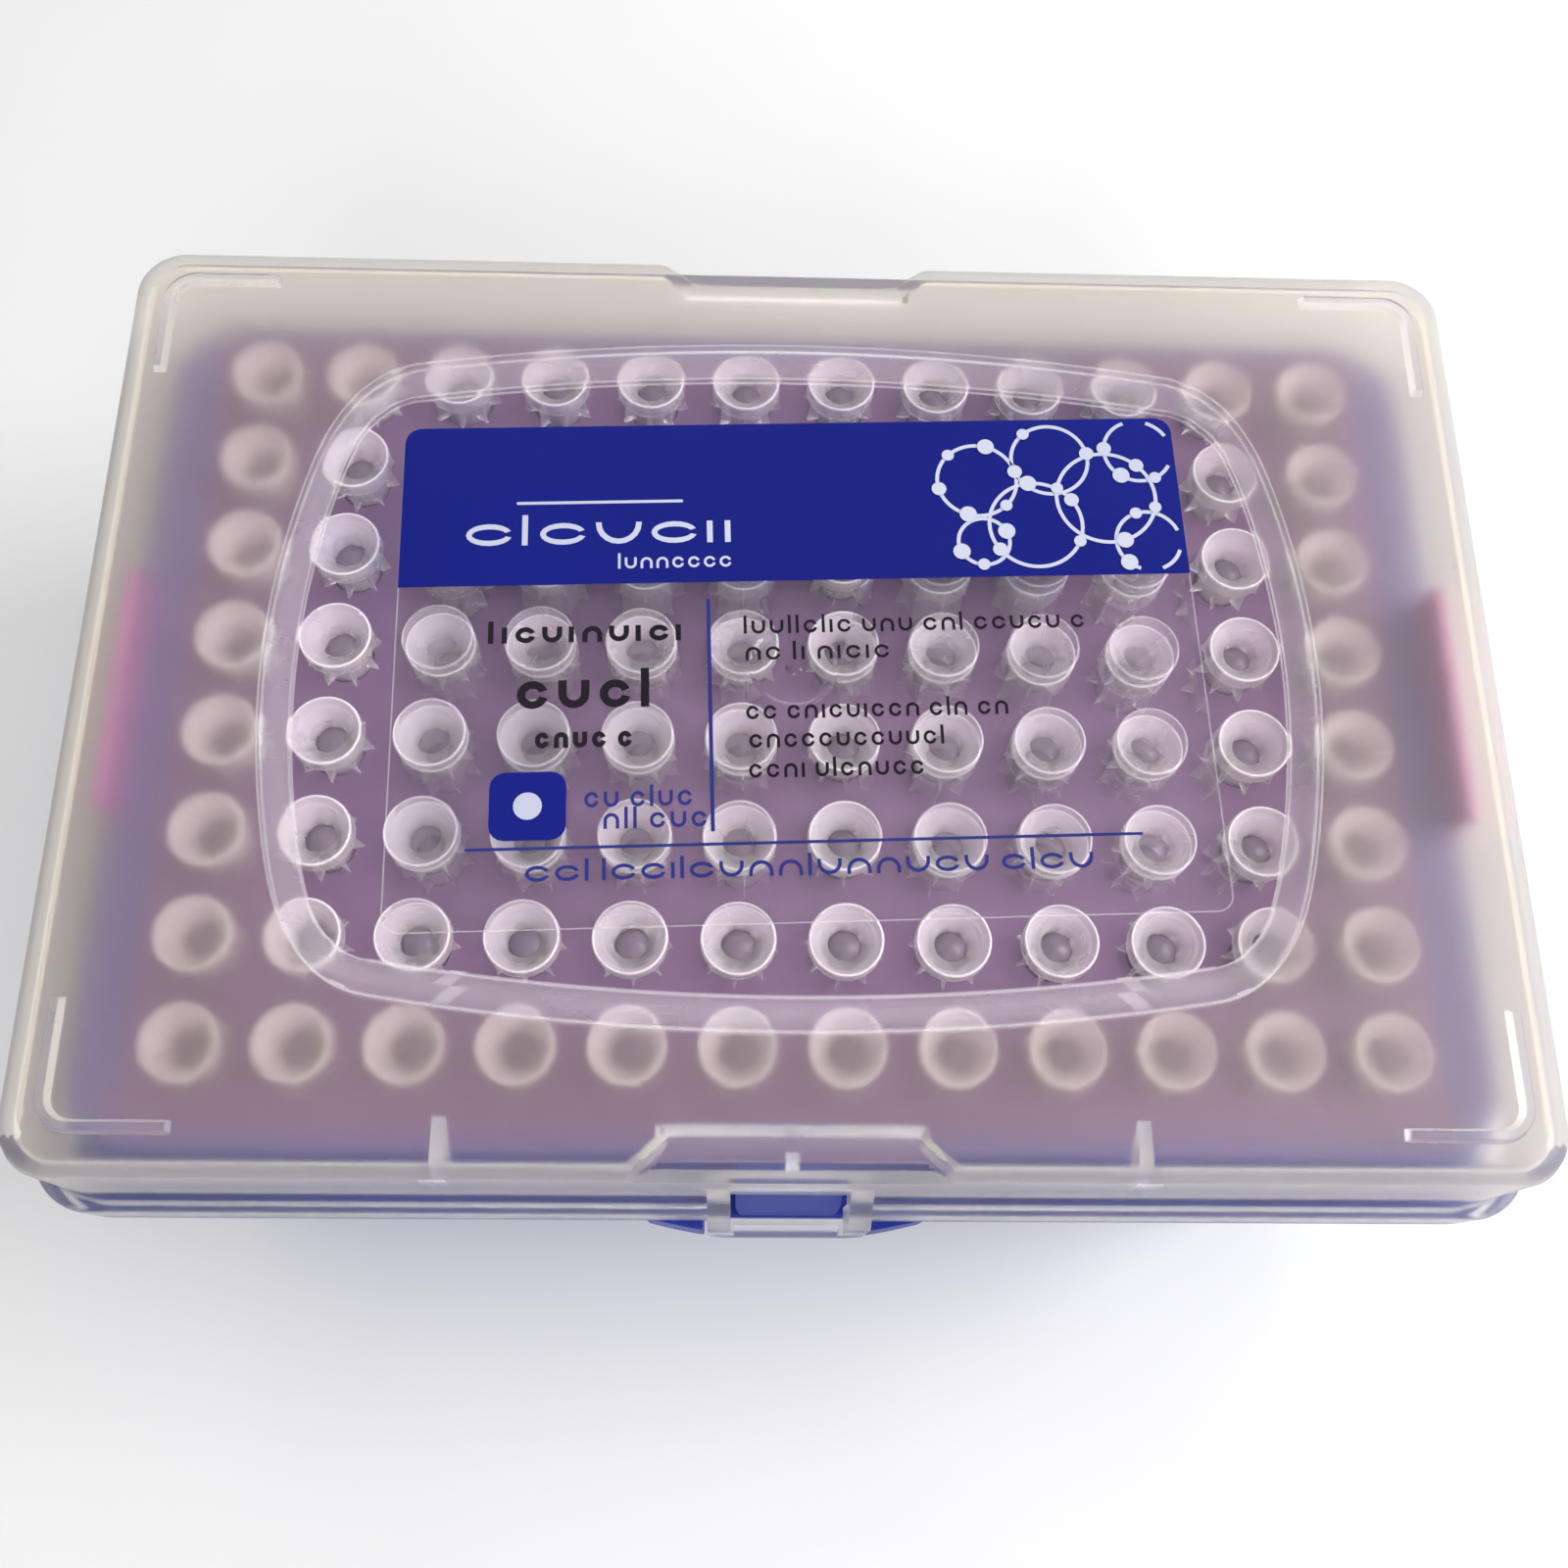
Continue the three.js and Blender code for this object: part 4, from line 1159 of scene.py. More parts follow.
    def zones(self, middle: Array) -> Array:
        """Chooses a finish for each face from where its middle lies.

        The first that holds is taken: painted highlight lines along both edges of the window's border and on
        the front webs; the pane; the satin border, with the ribs' tops lightened in it as painted light; the
        front ledge with the latch's lip, partly painted shade; the top's rounded edge apart from the front, a
        painted highlight; and the frost of all the rest.

        Args:
            middle: The middle of every face, in millimetres.

        Returns:
            The place of each face's finish in Zone.
        """
        x, y, z = np.abs(middle[:, 0]), middle[:, 1], middle[:, 2]
        share = self.border_share(middle[:, 0], y)
        near_top = z > self.ceiling - self.window_depth - 0.2
        # thin bands along both edges of the border that take the painted highlight
        lines = [np.abs(share - at) < half for at, half in self.painted_highlight_lines]
        # the front webs and the middle web under the notch also take the painted highlight
        half_reach = self.gusset_reach / 2
        beside = self.gusset_half + 0.05
        web = (np.abs(x - self.gusset_x) < beside) & (y < 0)
        web &= np.abs(z - self.ceiling + half_reach) < half_reach - 0.05
        (nub_in, nub_down), (nub_deep, nub_high) = self.nub_at, self.nub_half
        nub = (x < beside) & (np.abs(y - self.front_y - nub_in) < nub_deep)
        nub &= np.abs(z - self.ceiling + nub_down) < nub_high
        # the latch's lip and the front ledge take the partly painted shade
        lip = (x < self.slot_half - 0.29) & (y < self.datum.latch_face + 0.9)
        lip &= z < self.slot_low - 0.4
        ahead = self.front_y - y > x - self.top_half[0]
        ledge = ahead & (z > self.ledge_z - self.ledge_band / 6) & (z < self.ledge_z + self.ledge_band)
        # the top's rounded edge, apart from the front, takes the painted highlight
        over = [np.maximum(np.abs(middle[:, k]) - self.top_half[k] + self.wall_corner, 0) for k in (0, 1)]
        inset = self.wall_corner - np.hypot(*over)
        crown_in, crown_down, crown_from = self.crown
        crown = (inset < self.wall + crown_in) & (z > self.ceiling - crown_down)
        crown &= y > self.front_y + crown_from
        tests = {
            Zone.EDGE: near_top & (lines[0] | lines[1]) | web | nub,
            Zone.PANE: near_top & (share < self.painted_highlight_lines[1][0]),
            # the ribs' tops, above the top, take the satin copy as painted light
            Zone.SATIN: near_top & (share < 1.0) | (z > self.top + 0.1),
            Zone.LEDGE: lip | ledge,
            Zone.CROWN: crown,
        }
        order = list(Zone)
        return np.select(list(tests.values()), [order.index(zone) for zone in tests], order.index(Zone.FROST))

    def border_share(self, x: Array, y: Array) -> Array:
        """How far out a point lies over the window: below 0 in the pane, 1 at the border's rim.

        The distances of the two outlines from the centre are looked up at the point's own direction, and
        the point's distance is measured between them.
        """
        angle = np.arctan2(y - self.window_shift, x)
        reach = []
        for border in (0.0, 1.0):
            outline = self.window_outline(border)
            around = np.arctan2(outline[:, 1], outline[:, 0])
            reach.append(np.interp(angle, around, np.hypot(*outline.T), period=2 * math.pi))
        return (np.hypot(x, y - self.window_shift) - reach[0]) / (reach[1] - reach[0])


# ---- the base ----


@dataclass
class Tray:
    """The blue base: foot, walls, flange, rim, apron, tongue, hinge lugs and the ribs inside."""

    datum: Datum
    rim_half: Pair = (59.9, 39.9)
    rim_corner: float = 6.0
    draft: float = 1.6
    wall: float = 1.6
    foot_recess: float = 0.8
    floor: float = 2.1
    foot_width: float = 2.5
    flange_drop: float = 9.0
    flange_thickness: float = 2.0
    flange_corner: float = 5.2
    flange_root: float = 0.15
    support: float = 1.2
    support_reach: float = 3.0
    post: float = 4.2
    tab_half: float = 11.6
    tab_drop: float = 7.1
    tongue_half: float = 4.5
    tongue_foot: float = 3.95
    tongue_head: float = 1.9
    tongue_rise: float = 8.1
    tongue_corner: float = 0.75
    apron_half: float = 12.5
    apron_bulge: float = 1.6
    apron_height: float = 8.0
    apron_side: float = 3.6
    apron_front: float = 1.8
    latch_half: float = 7.3
    hinge_gap: float = 4.9
    lug_radius: float = 2.1
    lug_thickness: float = 2.0
    pin_radius: float = 1.0

    def __post_init__(self) -> None:
        """Works out the flange's height and the foot's size."""
        self.flange_top = self.datum.deck - self.flange_drop
        self.foot_half = (self.rim_half[0] - self.draft, self.rim_half[1] - self.draft)
        self.hinge_y = self.datum.skirt_half[1] - self.datum.pin_in
        self.hinge_run = tuple(self.datum.hinge_x + side * self.hinge_gap for side in (-1, 1))
        self.hinge_z = self.flange_top - self.lug_radius

    def lean(self, heights: Array) -> Array:
        """How far the drafted wall stands in from the rim at each height."""
        return self.draft * (1 - np.asarray(heights, float) / self.datum.deck)

    def face(self, heights: Array, inward: float = 0.0) -> Array:
        """The drafted wall's inset and height at each height, or a face further in."""
        return np.stack([self.lean(heights) + inward, heights], -1)

    def walls(self, lay: Perimeter) -> Array:
        """Rings of the body: recess, foot, wall, flange, rim, inside wall and floor.

        The outside leans in by the draft towards the foot. The flange steps out of it with rounded edges.

        Args:
            lay: The columns.

        Returns:
            Points as rings by columns by 3.
        """
        deck, low, top = self.datum.deck, self.flange_top - self.flange_thickness, self.flange_top
        width, depth = self.foot_width, self.foot_recess
        recess = [(width + 4, depth), (width + 0.3, depth), (width, depth - 0.25), (width, 0.3),
                  (width - 0.3, 0)]
        foot = fillet(0.7, 0.7, 0.7, -90, 0, 5)
        heights = np.array([4.0, 12, 20, 28, low - 0.5, low - 0.1])
        wall = self.face(heights)
        wall[-1, 0] -= self.flange_root
        flange = np.concatenate([fillet(0.35, low + 0.35, 0.35, -90, 0, 4),
                                 fillet(0.35, top - 0.35, 0.35, 0, 90, 4)])
        heights = np.array([top + 0.1, top + 0.5, 41, 44, deck - 0.6])
        collar = self.face(heights)
        collar[0, 0] -= self.flange_root
        rim = np.concatenate([fillet(0.4, deck - 0.4, 0.4, 0, 90, 4),
                              fillet(self.wall - 0.4, deck - 0.4, -0.4, 90, 0, 4)])
        heights = np.array([deck - 1.5, 40, 30, 20, 10, self.floor + 1.0])
        inside = self.face(heights, self.wall)
        edge = float(self.lean(self.floor)) + self.wall
        floor = [(edge + 0.3, self.floor + 0.3), (edge + 1.0, self.floor), (edge + 4.0, self.floor)]
        foot_corner = self.rim_corner - self.draft
        return np.concatenate([
            lay.rings(self.foot_half, foot_corner, np.concatenate([recess, foot])),
            lay.rings(self.rim_half, self.rim_corner, wall),
            lay.rings(self.datum.flange_half, self.flange_corner, flange),
            lay.rings(self.rim_half, self.rim_corner, np.concatenate([collar, rim, inside, floor])),
        ])

    def supports(self) -> Form:
        """Upright ribs and corner posts under the wafer's edge, before they are trimmed to the body.

        Returns:
            One form that holds them all.
        """
        under = self.datum.deck - self.datum.wafer
        low = self.floor - 0.2
        half = self.support / 2
        in_x, in_y = (h - self.wall - self.support_reach for h in self.rim_half)
        out_x, out_y = (h - 0.5 for h in self.rim_half)
        forms = [block((x - half, in_y, low), (x + half, out_y, under)) for x in range(-45, 46, 18)]
        forms += [f.mirrored(1) for f in forms]
        ends = [block((in_x, y - half, low), (out_x, y + half, under)) for y in (-18, 18)]
        post_x, post_y = (h - self.wall - self.post for h in self.rim_half)
        post = block((post_x, post_y, low), (out_x, out_y, under))
        ends += [post, post.mirrored(1)]
        return gathered(forms + ends + [f.mirrored(0) for f in ends])

    def apron(self) -> Piece:
        """The swelling of the flange round the latch, open where the latch bar hangs.

        Its front is a parabola that stands proud by the bulge at the middle.

        Returns:
            An object, not yet part of the base.
        """
        back = -self.foot_half[1] + self.wall / 2
        edge = -self.datum.flange_half[1]
        low = self.flange_top - self.apron_height
        x = np.linspace(-self.apron_half, self.apron_half, 33)
        front = edge - self.apron_bulge * (1 - (x / self.apron_half) ** 2)
        plan = np.concatenate([[(self.apron_half, back), (-self.apron_half, back)], np.stack([x, front], -1)])
        apron = Bench.piece(prism(plan, Run.Z, low, self.flange_top - 0.15), "apron")
        out = edge - 2 * self.apron_bulge
        bay = block((-self.latch_half, out, low - 1), (self.latch_half, edge + 0.4, self.flange_top + 1))
        Bench.act(apron, bay, Join.CUT)
        half = self.apron_half - self.apron_side
        hollow = block((-half, edge + self.apron_front, low - 1),
                       (half, back - 0.4, self.flange_top - self.flange_thickness))
        Bench.act(apron, hollow, Join.CUT)
        Bench.rounded(apron, radius=0.22)
        return apron

    def tongue(self) -> Piece:
        """The ramp that holds the latch bar down, its upright front edges rounded in plan.

        Returns:
            An object, not yet part of the base.
        """
        rim_y = -self.rim_half[1]
        foot = self.flange_top + 0.7
        side = [(rim_y + self.wall / 2, foot), (rim_y - self.tongue_foot, foot),
                (rim_y - self.tongue_head, foot + self.tongue_rise),
                (rim_y + self.wall / 2, foot + self.tongue_rise)]
        ramp = Bench.piece(prism(side, Run.X, -self.tongue_half, self.tongue_half), "tongue")
        back = rim_y + self.wall
        front = rounded_foot(self.tongue_half, rim_y - self.tongue_foot, self.tongue_corner)
        plan = np.concatenate([[(self.tongue_half, back), (-self.tongue_half, back)], front])
        Bench.act(ramp, prism(plan, Run.Z, foot - 1, foot + self.tongue_rise + 1), Join.TRIM)
        Bench.rounded(ramp, radius=0.07, steps=2)
        return ramp

    def lugs(self) -> Piece:
        """The two lugs and the pin of one hinge, rounded.

        Returns:
            An object of the right-hand hinge, not yet part of the base.
        """
        wall_y, top = self.foot_half[1], self.flange_top - 0.02
        nose = arc((self.hinge_y, self.hinge_z), self.lug_radius, -90, 90, 14)
        side = np.concatenate([[(wall_y, top), (wall_y, self.hinge_z - 2 * self.lug_radius)], nose[:-1],
                               [(self.hinge_y, top)]])
        start, end = self.hinge_run[0] - self.lug_thickness, self.hinge_run[1]
        lugs = Bench.piece(prism(side, Run.X, start, start + self.lug_thickness), "lugs")
        Bench.act(lugs, prism(side, Run.X, end, end + self.lug_thickness), Join.ADD)
        Bench.rounded(lugs, radius=0.2, steps=2)
        pin = prism(arc((self.hinge_y, self.hinge_z), self.pin_radius, 0, 345, 23), Run.X, start + 1, end + 1)
        Bench.act(lugs, pin, Join.ADD)
        return lugs

    def build(self) -> Piece:
        """Builds the base in its blue finish.

        Returns:
            The finished piece.
        """
        lay = Perimeter.plain(corner_steps=12, straight=8)
        tray = Bench.piece(stacked(self.walls(lay)), "base_tray")
        flange_y = self.datum.flange_half[1]
        gap = block((self.hinge_run[0], self.rim_half[1], self.flange_top - 3),
                    (self.hinge_run[1], flange_y + 1, self.flange_top + 1))
        Bench.both(tray, gap, Join.CUT)
        Bench.apply(tray, self.apron(), Join.ADD)
        Bench.apply(tray, self.tongue(), Join.ADD)
        for flipped in (False, True):
            lugs = self.lugs()
            if flipped:
                self.flip(lugs)
            Bench.apply(tray, lugs, Join.ADD)
        under = self.datum.deck - self.datum.wafer
        trim = lay.rings(self.rim_half, self.rim_corner,
                         [(float(self.lean(1.9)) + 0.4, 1.9), (float(self.lean(under)) + 0.4, under + 1)])
        ribs = Bench.piece(self.supports(), "ribs")
        Bench.act(ribs, stacked(trim), Join.TRIM)
        Bench.apply(tray, ribs, Join.ADD)
        slot = block((self.rim_half[0] - self.wall - 1, -self.tab_half, self.datum.deck - self.tab_drop),
                     (self.rim_half[0] + 1, self.tab_half, self.datum.deck + 1))
        Bench.both(tray, slot, Join.CUT)
        Bench.shaded(tray)
        Bench.dressed(tray, [BLUE_MOULDING])
        return tray

    @staticmethod
    def flip(piece: Piece) -> None:
        """Mirrors a mesh in x and turns its faces back outwards."""
        points = np.empty(len(piece.data.vertices) * 3, np.float32)
        piece.data.vertices.foreach_get("co", points)
        points[::3] *= -1
        piece.data.vertices.foreach_set("co", points)
        piece.data.flip_normals()
        piece.data.update()


# ---- the wafer and its tips ----


@dataclass
class Wafer:
    """The magenta wafer: a thin plate with a hole for each tip and a grip tab at each end."""

    datum: Datum
    half: Pair = (59.6, 39.6)
    lip: Pair = (1.7, 0.3)
    corner: float = 6.5
    hole: float = 2.42
    ledge: float = 3.6
    tab_half: float = 11.3
    tab_drop: float = 6.8
    tab_rise: float = 4.6
    tab_thickness: float = 1.1

    def build(self, places: Array) -> Piece:
        """Builds the wafer.

        Args:
            places: Centres of the holes, x and y.

        Returns:
            The finished piece.
        """
        deck, under = self.datum.deck, self.datum.deck - self.datum.wafer
        reach, rise = self.lip
        profile = np.concatenate([[(reach + 2.4, under), (reach + 1.2, under)],
                                  fillet(reach + 0.2, under + 0.2, 0.2, -90, 0, 3),
                                  [(reach, deck + 0.03), (0.05, deck + 0.03)],
                                  fillet(0.12, deck + rise - 0.12, 0.12, 0, 90, 3),
                                  [(reach, deck + rise), (reach + 0.5, deck), (reach + 2.4, deck)]])
        rings = Perimeter.plain(corner_steps=12, straight=8).rings(self.half, self.corner, profile)
        plate = Bench.piece(stacked(rings), "wafer_plate")
        punch = lathed([(self.hole, under - 1), (self.hole, deck + 1)], sides=32, looped=False)
        centres = np.concatenate([places, np.zeros((len(places), 1))], -1)
        Bench.act(plate, punch.copies(centres), Join.CUT)
        face = self.datum.tab_face
        shelf = block((self.half[0] - 2.5, -self.tab_half + 0.3, under),
                      (face - 0.3, self.tab_half - 0.3, deck))
        blade = block((face - self.tab_thickness, -self.tab_half, deck - self.tab_drop),
                      (face, self.tab_half, deck + self.tab_rise))
        Bench.both(plate, shelf, Join.ADD)
        Bench.both(plate, blade, Join.ADD, round_edges=0.3)
        Bench.shaded(plate)
        x, y, z = np.abs(Bench.centres(plate)).T
        # the tabs take the lighter pink as painted backlight
        grip = (x > self.half[0] + 0.05) | (z > deck + 0.4) | (z < under - 0.2)
        # the margin takes the bluer tint as the painted blue base showing through
        margin = (x > self.half[0] - self.ledge) | (y > self.half[1] - self.ledge / 2)
        Bench.dressed(plate, [MAGENTA_MOULDING, MAGENTA_GRIP_PAINTED_BACKLIGHT, MAGENTA_MARGIN_PAINTED_BLUE], np.where(grip, 1, 2 * margin))
        return plate


@dataclass
class Tips:
    """The tips: a collar with a funnel mouth, eight fins, a hub, a long thin shaft and a filter dark as
    painted bore shade.
    """

    datum: Datum
    pitch: float = 9.0
    columns: int = 12
    rows: int = 8
    sides: int = 32
    collar: float = 3.2
    bore: float = 1.5
    fins: int = 8
    fin_reach: float = 3.42
    seed: int = 96
    unsteady: float = 0.004
    uneven: float = 0.05
    crease: float = 38.0
    painted_highlight_steps: tuple[int, ...] = (13, 14)
    rng: np.random.Generator = field(init=False)
    rim_highlights: Array = field(init=False)

    def __post_init__(self) -> None:
        """Seeds the small unevenness of the tips and marks the mouth's rim steps that take a painted
        highlight.
        """
        self.rng = np.random.default_rng(self.seed)
        steps = np.arange(len(self.mouth()))
        self.rim_highlights = np.repeat(np.isin(steps, self.painted_highlight_steps).astype(int), self.sides)

    def places(self) -> Array:
        """Centres of the grid, row by row from the front."""
        x = (np.arange(self.columns) - (self.columns - 1) / 2) * self.pitch
        y = (np.arange(self.rows) - (self.rows - 1) / 2) * self.pitch
        grid = np.stack(np.meshgrid(x, y), -1)
        return grid.reshape(-1, 2)

    def mouth(self) -> Profile:
        """The closed profile of one tip: outside up, over the rim, and inside down.

        Returns:
            Radius and height of each point.
        """
        top, point, deck = self.datum.tip_top, self.datum.tip_point, self.datum.deck
        r = self.collar
        return [
            (0.40, point), (0.46, point + 0.15), (0.85, point + 12), (1.30, point + 23),
            (1.95, point + 24.2), (2.20, point + 26), (2.28, deck - 0.6), (2.30, deck + 1.0),
            (2.42, deck + 2.6), (2.75, deck + 3.15), (r - 0.08, deck + 3.28), (r, deck + 3.42),
            (r, top - 0.25), (r - 0.04, top - 0.08), (r - 0.13, top), (r - 0.23, top - 0.01),
            (r - 0.32, top - 0.10), (2.66, top - 0.30), (2.60, top - 0.38), (2.50, top - 0.41),
            (2.22, top - 0.70), (2.16, top - 0.78), (2.10, top - 0.80), (1.84, top - 1.10),
            (1.66, top - 1.22), (self.bore, top - 1.45), (self.bore - 0.02, top - 4),
            (self.bore - 0.04, top - 12), (self.bore - 0.06, point + 26), (1.05, point + 24),
            (0.60, point + 12), (0.22, point),
        ]

    def fin(self) -> Form:
        """One fin: a plate that narrows outwards and runs further out at the deck than at the collar.

        Returns:
            The closed form, along X from the tip's axis.
        """
        deck = self.datum.deck
        plan = np.array([(2.1, -0.34), (1.0, -0.06), (1.0, 0.06), (2.1, 0.34)])
        rings = np.zeros((4, 4, 3))
        for ring, (reach, height, thick) in enumerate(
            [(self.fin_reach - 0.25, deck + 0.6, 1.0), (self.fin_reach, deck + 0.8, 1.0),
             (self.fin_reach - 0.15, deck + 1.5, 0.9), (self.collar - 0.12, deck + 3.4, 0.7)]
        ):
            rings[ring, :, 0] = np.where(plan[:, 0] > 2, 2.1, reach)
            rings[ring, :, 1] = plan[:, 1] * thick
            rings[ring, :, 2] = height
        return stacked(rings)

    def star(self) -> Form:
        """All the fins of one tip."""
        angle = np.arange(self.fins) * 2 * math.pi / self.fins
        turns = self.turned(angle, np.zeros((self.fins, 2)))
        return self.fin().copies(np.zeros((self.fins, 3)), turns)

    @staticmethod
    def turned(angle: Array, tilt: Array) -> Array:
        """Matrices that turn about Z and then lean a little about X and Y.

        Args:
            angle: Turn of each, in radians.
            tilt: Small lean of each about X and Y, in radians.

        Returns:
            One 3 by 3 matrix each.
        """
        cos, sin, zero, one = np.cos(angle), np.sin(angle), np.zeros_like(angle), np.ones_like(angle)
        spin = np.stack([cos, -sin, zero, sin, cos, zero, zero, zero, one], -1).reshape(-1, 3, 3)
        a, b = tilt[:, 0], tilt[:, 1]
        lean = np.stack([one, zero, b, zero, one, -a, -b, a, one], -1).reshape(-1, 3, 3)
        return lean @ spin

    def build(self) -> list[Piece]:
        """Builds the tips, a piece for each row, and the filters, dark as painted bore shade, as one piece.

        Each tip is turned at random, leans a little about its seat in the wafer and sits a little low.

        Returns:
            The finished pieces.
        """
        seat = np.array([0, 0, self.datum.deck])
        wall, star = lathed(self.mouth(), self.sides), self.star()
        model = gathered([wall, star]).moved(-seat)
        top = self.datum.tip_top
        r = self.bore - 0.05
        # the plug sits high in the bore, and its dark finish paints the shade of the deep bore
        profile = [(0.02, top - 11), (r - 0.1, top - 11), (r - 0.02, top - 10.8), (r, top - 3.1),
                   (r - 0.2, top - 2.85), (0.8, top - 2.65), (0.4, top - 2.5), (0.02, top - 2.45)]
        plug = lathed(profile, sides=16, looped=False).moved(-seat)
        pieces, plugs = [], []
        places = self.places().reshape(self.rows, self.columns, 2)
        for row, letter in enumerate("abcdefgh"[: self.rows]):
            count = self.columns
            angle = self.rng.uniform(0, 2 * math.pi, count)
            turns = self.turned(angle, self.rng.normal(0, self.unsteady, (count, 2)))
            lift = -np.abs(self.rng.normal(0, self.uneven, (count, 1)))
            spots = np.concatenate([places[row], self.datum.deck + lift], -1)
            tips = Bench.piece(model.copies(spots, turns), "tips_row_" + letter)
            # the fins take the lighter, clearer satin copy as painted light
            zone = np.full(len(tips.data.polygons), 2)  # the fins come last and take the third finish
            # the rim's steps take the painted highlight
            zone[: count * len(self.rim_highlights)] = np.tile(self.rim_highlights, count)
            Bench.dressed(tips, [NATURAL_TIP, TIP_RIM_PAINTED_HIGHLIGHT, SATIN_AND_PAINTED_LIGHT], zone)
            tips.data.set_sharp_from_angle(angle=math.radians(self.crease))
            pieces.append(tips)
            plugs.append(plug.copies(spots, turns))
        filters = Bench.piece(gathered(plugs), "tip_filters_painted_shade")
        Bench.dressed(filters, [FILTER_PAINTED_BORE_SHADE])
        Bench.shaded(filters, crease=40.0)
        return pieces + [filters]


# ---- the label ----


class Ink(Enum):
    """The inks of the label's print."""

    BLUE = BLUE_INK
    BLACK = BLACK_INK
    LINE = LINE_INK
    WHITE = WHITE_INK


class Mark(Enum):
    """The plain marks that stand for print."""

    BAR = 0
    ARCH = 1
    CUP = 2
    RING = 3


# Each line of marks: left end, middle height, length, height, seed, weight and breadth.
PRINT_LINES: dict[Ink, tuple[tuple[float, ...], ...]] = {
    Ink.WHITE: (
        (-29.2, 12.9, 23.6, 3.0, 31, 0.17, 0.95),
        (-15.8, 9.7, 10.0, 1.5, 32, 0.15, 0.62),
    ),
    Ink.BLACK: (
        (-27.0, 3.0, 16.8, 2.1, 3, 0.22, 0.62),
        (-24.4, -2.4, 11.4, 3.6, 4, 0.2, 0.62),
        (-22.8, -6.8, 8.2, 2.0, 9, 0.22, 0.62),
        (-4.9, 3.3, 29.9, 1.75, 11, 0.15, 0.62),
        (-4.8, 0.8, 12.5, 1.75, 12, 0.15, 0.62),
        (-4.9, -4.7, 22.5, 1.75, 13, 0.15, 0.62),
        (-4.7, -7.3, 16.6, 1.75, 14, 0.15, 0.62),
        (-4.8, -10.0, 14.8, 1.75, 15, 0.15, 0.62),
    ),
    Ink.LINE: (
        (-18.6, -12.2, 9.0, 1.9, 21, 0.15, 0.62),
        (-17.0, -14.1, 8.6, 1.9, 22, 0.15, 0.62),
        (-23.4, -18.5, 47.0, 1.9, 23, 0.16, 0.95),
    ),
}

# Each ring of the motif: centre, radius and level.
MOTIF_RINGS = (
    (16.6, 17.2, 3.6, 1), (21.6, 12.6, 4.2, 2), (23.4, 19.2, 3.5, 1), (28.2, 15.2, 4.5, 3),
    (31.6, 10.8, 2.9, 1), (31.6, 20.0, 3.1, 1), (16.8, 11.0, 2.3, 1),
)


